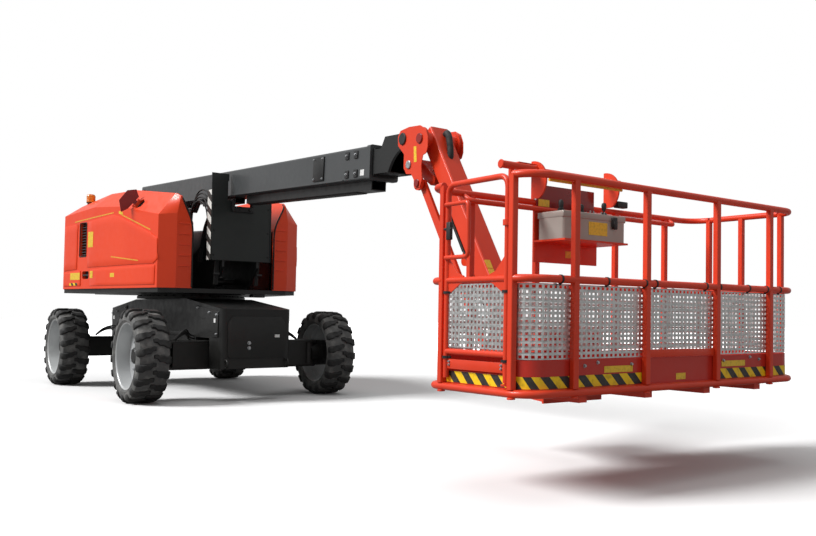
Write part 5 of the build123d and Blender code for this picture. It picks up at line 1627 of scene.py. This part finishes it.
class Jib(Assembly):
    """Hoses, labels, pin caps and end plates of the jib."""

    PIN = (5400.3, 2400.7)
    PITCH = -57.0
    CHEEK = 172.3

    @classmethod
    def along(cls, reach: float, y: float, rise: float) -> Vector:
        """A place on the jib, from its pin at the boom's nose."""
        return pitched(cls.PIN, cls.PITCH, reach, y, rise)

    def hoses(self) -> None:
        """Black hoses under the jib, and the elbow on the jib's head."""
        made = []
        for y in (-80, -62, 80):
            made.append(Bench.tube([self.along(430, y, -99), self.along(800, y, -103),
                                    self.along(1200, y, -98), self.along(1560, y, -104)], 0.0085))
        self.dress(Bench.join(made), "jib_hoses", "jib", "hose_rubber")
        elbow = Bench.tube([at(5440, 33, 2410), at(5470, 33, 2476), at(5520, 20, 2450), at(5568, 4, 2345),
                            at(5590, -4, 2262), at(5575, -6, 2225)], 0.027, order=4)
        self.dress(elbow, "jib_head_elbow", "jib", "hose_rubber")

    def cheeks(self) -> None:
        """Full cover plates, pin caps and labels on both cheeks."""
        outline = [(5110, 2505), (5235, 2518), (5400, 2508), (5478, 2470), (5512, 2400), (5514, 2315),
                   (5492, 2268),
                   (5448, 2258), (5426, 2180), (5440, 2066), (5412, 2004), (5330, 2000), (5318, 2075),
                   (5280, 2122), (5208, 2130), (5166, 2185), (5168, 2300), (5076, 2382), (5072, 2460)]
        for hand in Hand:
            s = hand.value
            plate = Bench.plate([at(x, s * self.CHEEK, z) for x, z in outline], Vector((0, s * 0.006, 0)),
                                0.002)
            self.dress(plate, f"jib_cheek_plate_{hand.side}", "jib_cheeks", "rail_orange")
            face = [(5322, 2215), (5362, 2215), (5352, 2345), (5314, 2345)]
            label = Bench.plate([at(x, s * 178.5, z) for x, z in face], Vector((0, s * 0.0008, 0)), 0.0002)
            self.dress(label, f"jib_cheek_label_{hand.side}", "jib_cheeks", "label_yellow")
            for name, place, radius, finish in (("nose", (5150.3, 2430.7), 0.05, "moulded_black"),
                                                ("level", (5245.3, 2204.7), 0.034, "zinc_bolt"),
                                                ("jib", self.PIN, 0.042, "dark_red"),
                                                ("link", (5370.3, 2040.7), 0.032, "dark_red")):
                cap = Bench.turned([(0, 0), (0, radius), (0.009, radius), (0.012, radius - 0.004),
                                    (0.012, 0.0)],
                                   at(place[0], s * 178, place[1]), Vector((0, s, 0)), 32)
                self.dress(cap, f"jib_{name}_pin_{hand.side}", "jib_cheeks", finish)

    def labels(self) -> None:
        """Blank labels on the jib's side."""
        for name, reach, y in (("upper", 1250, -84), ("lower", 1330, -84)):
            corners = [self.along(reach + a, y + b, 76.3) for a, b in ((0, 0), (74, 0), (74, 56), (0, 56))]
            label = Bench.plate(corners, self.along(0, 0, 0.8) - self.along(0, 0, 0), 0.0002)
            self.dress(label, f"jib_label_{name}", "jib", "label_yellow")

    def build(self) -> None:
        """Builds the jib's pieces."""
        self.hoses()
        self.cheeks()
        self.labels()


ASSEMBLIES: list[type[Assembly]] = [Coats, Wheels, Platform, Hoods, Turntable, Chassis, Booms, Jib]


def main() -> None:
    """Builds the studio and every assembly."""
    logging.basicConfig(level=logging.INFO, format="%(name)s: %(message)s")
    palette = Palette()
    bench = Bench(palette)
    Studio().build()
    for assembly in ASSEMBLIES:
        assembly(bench).build()


if __name__ == "__main__":
    main()
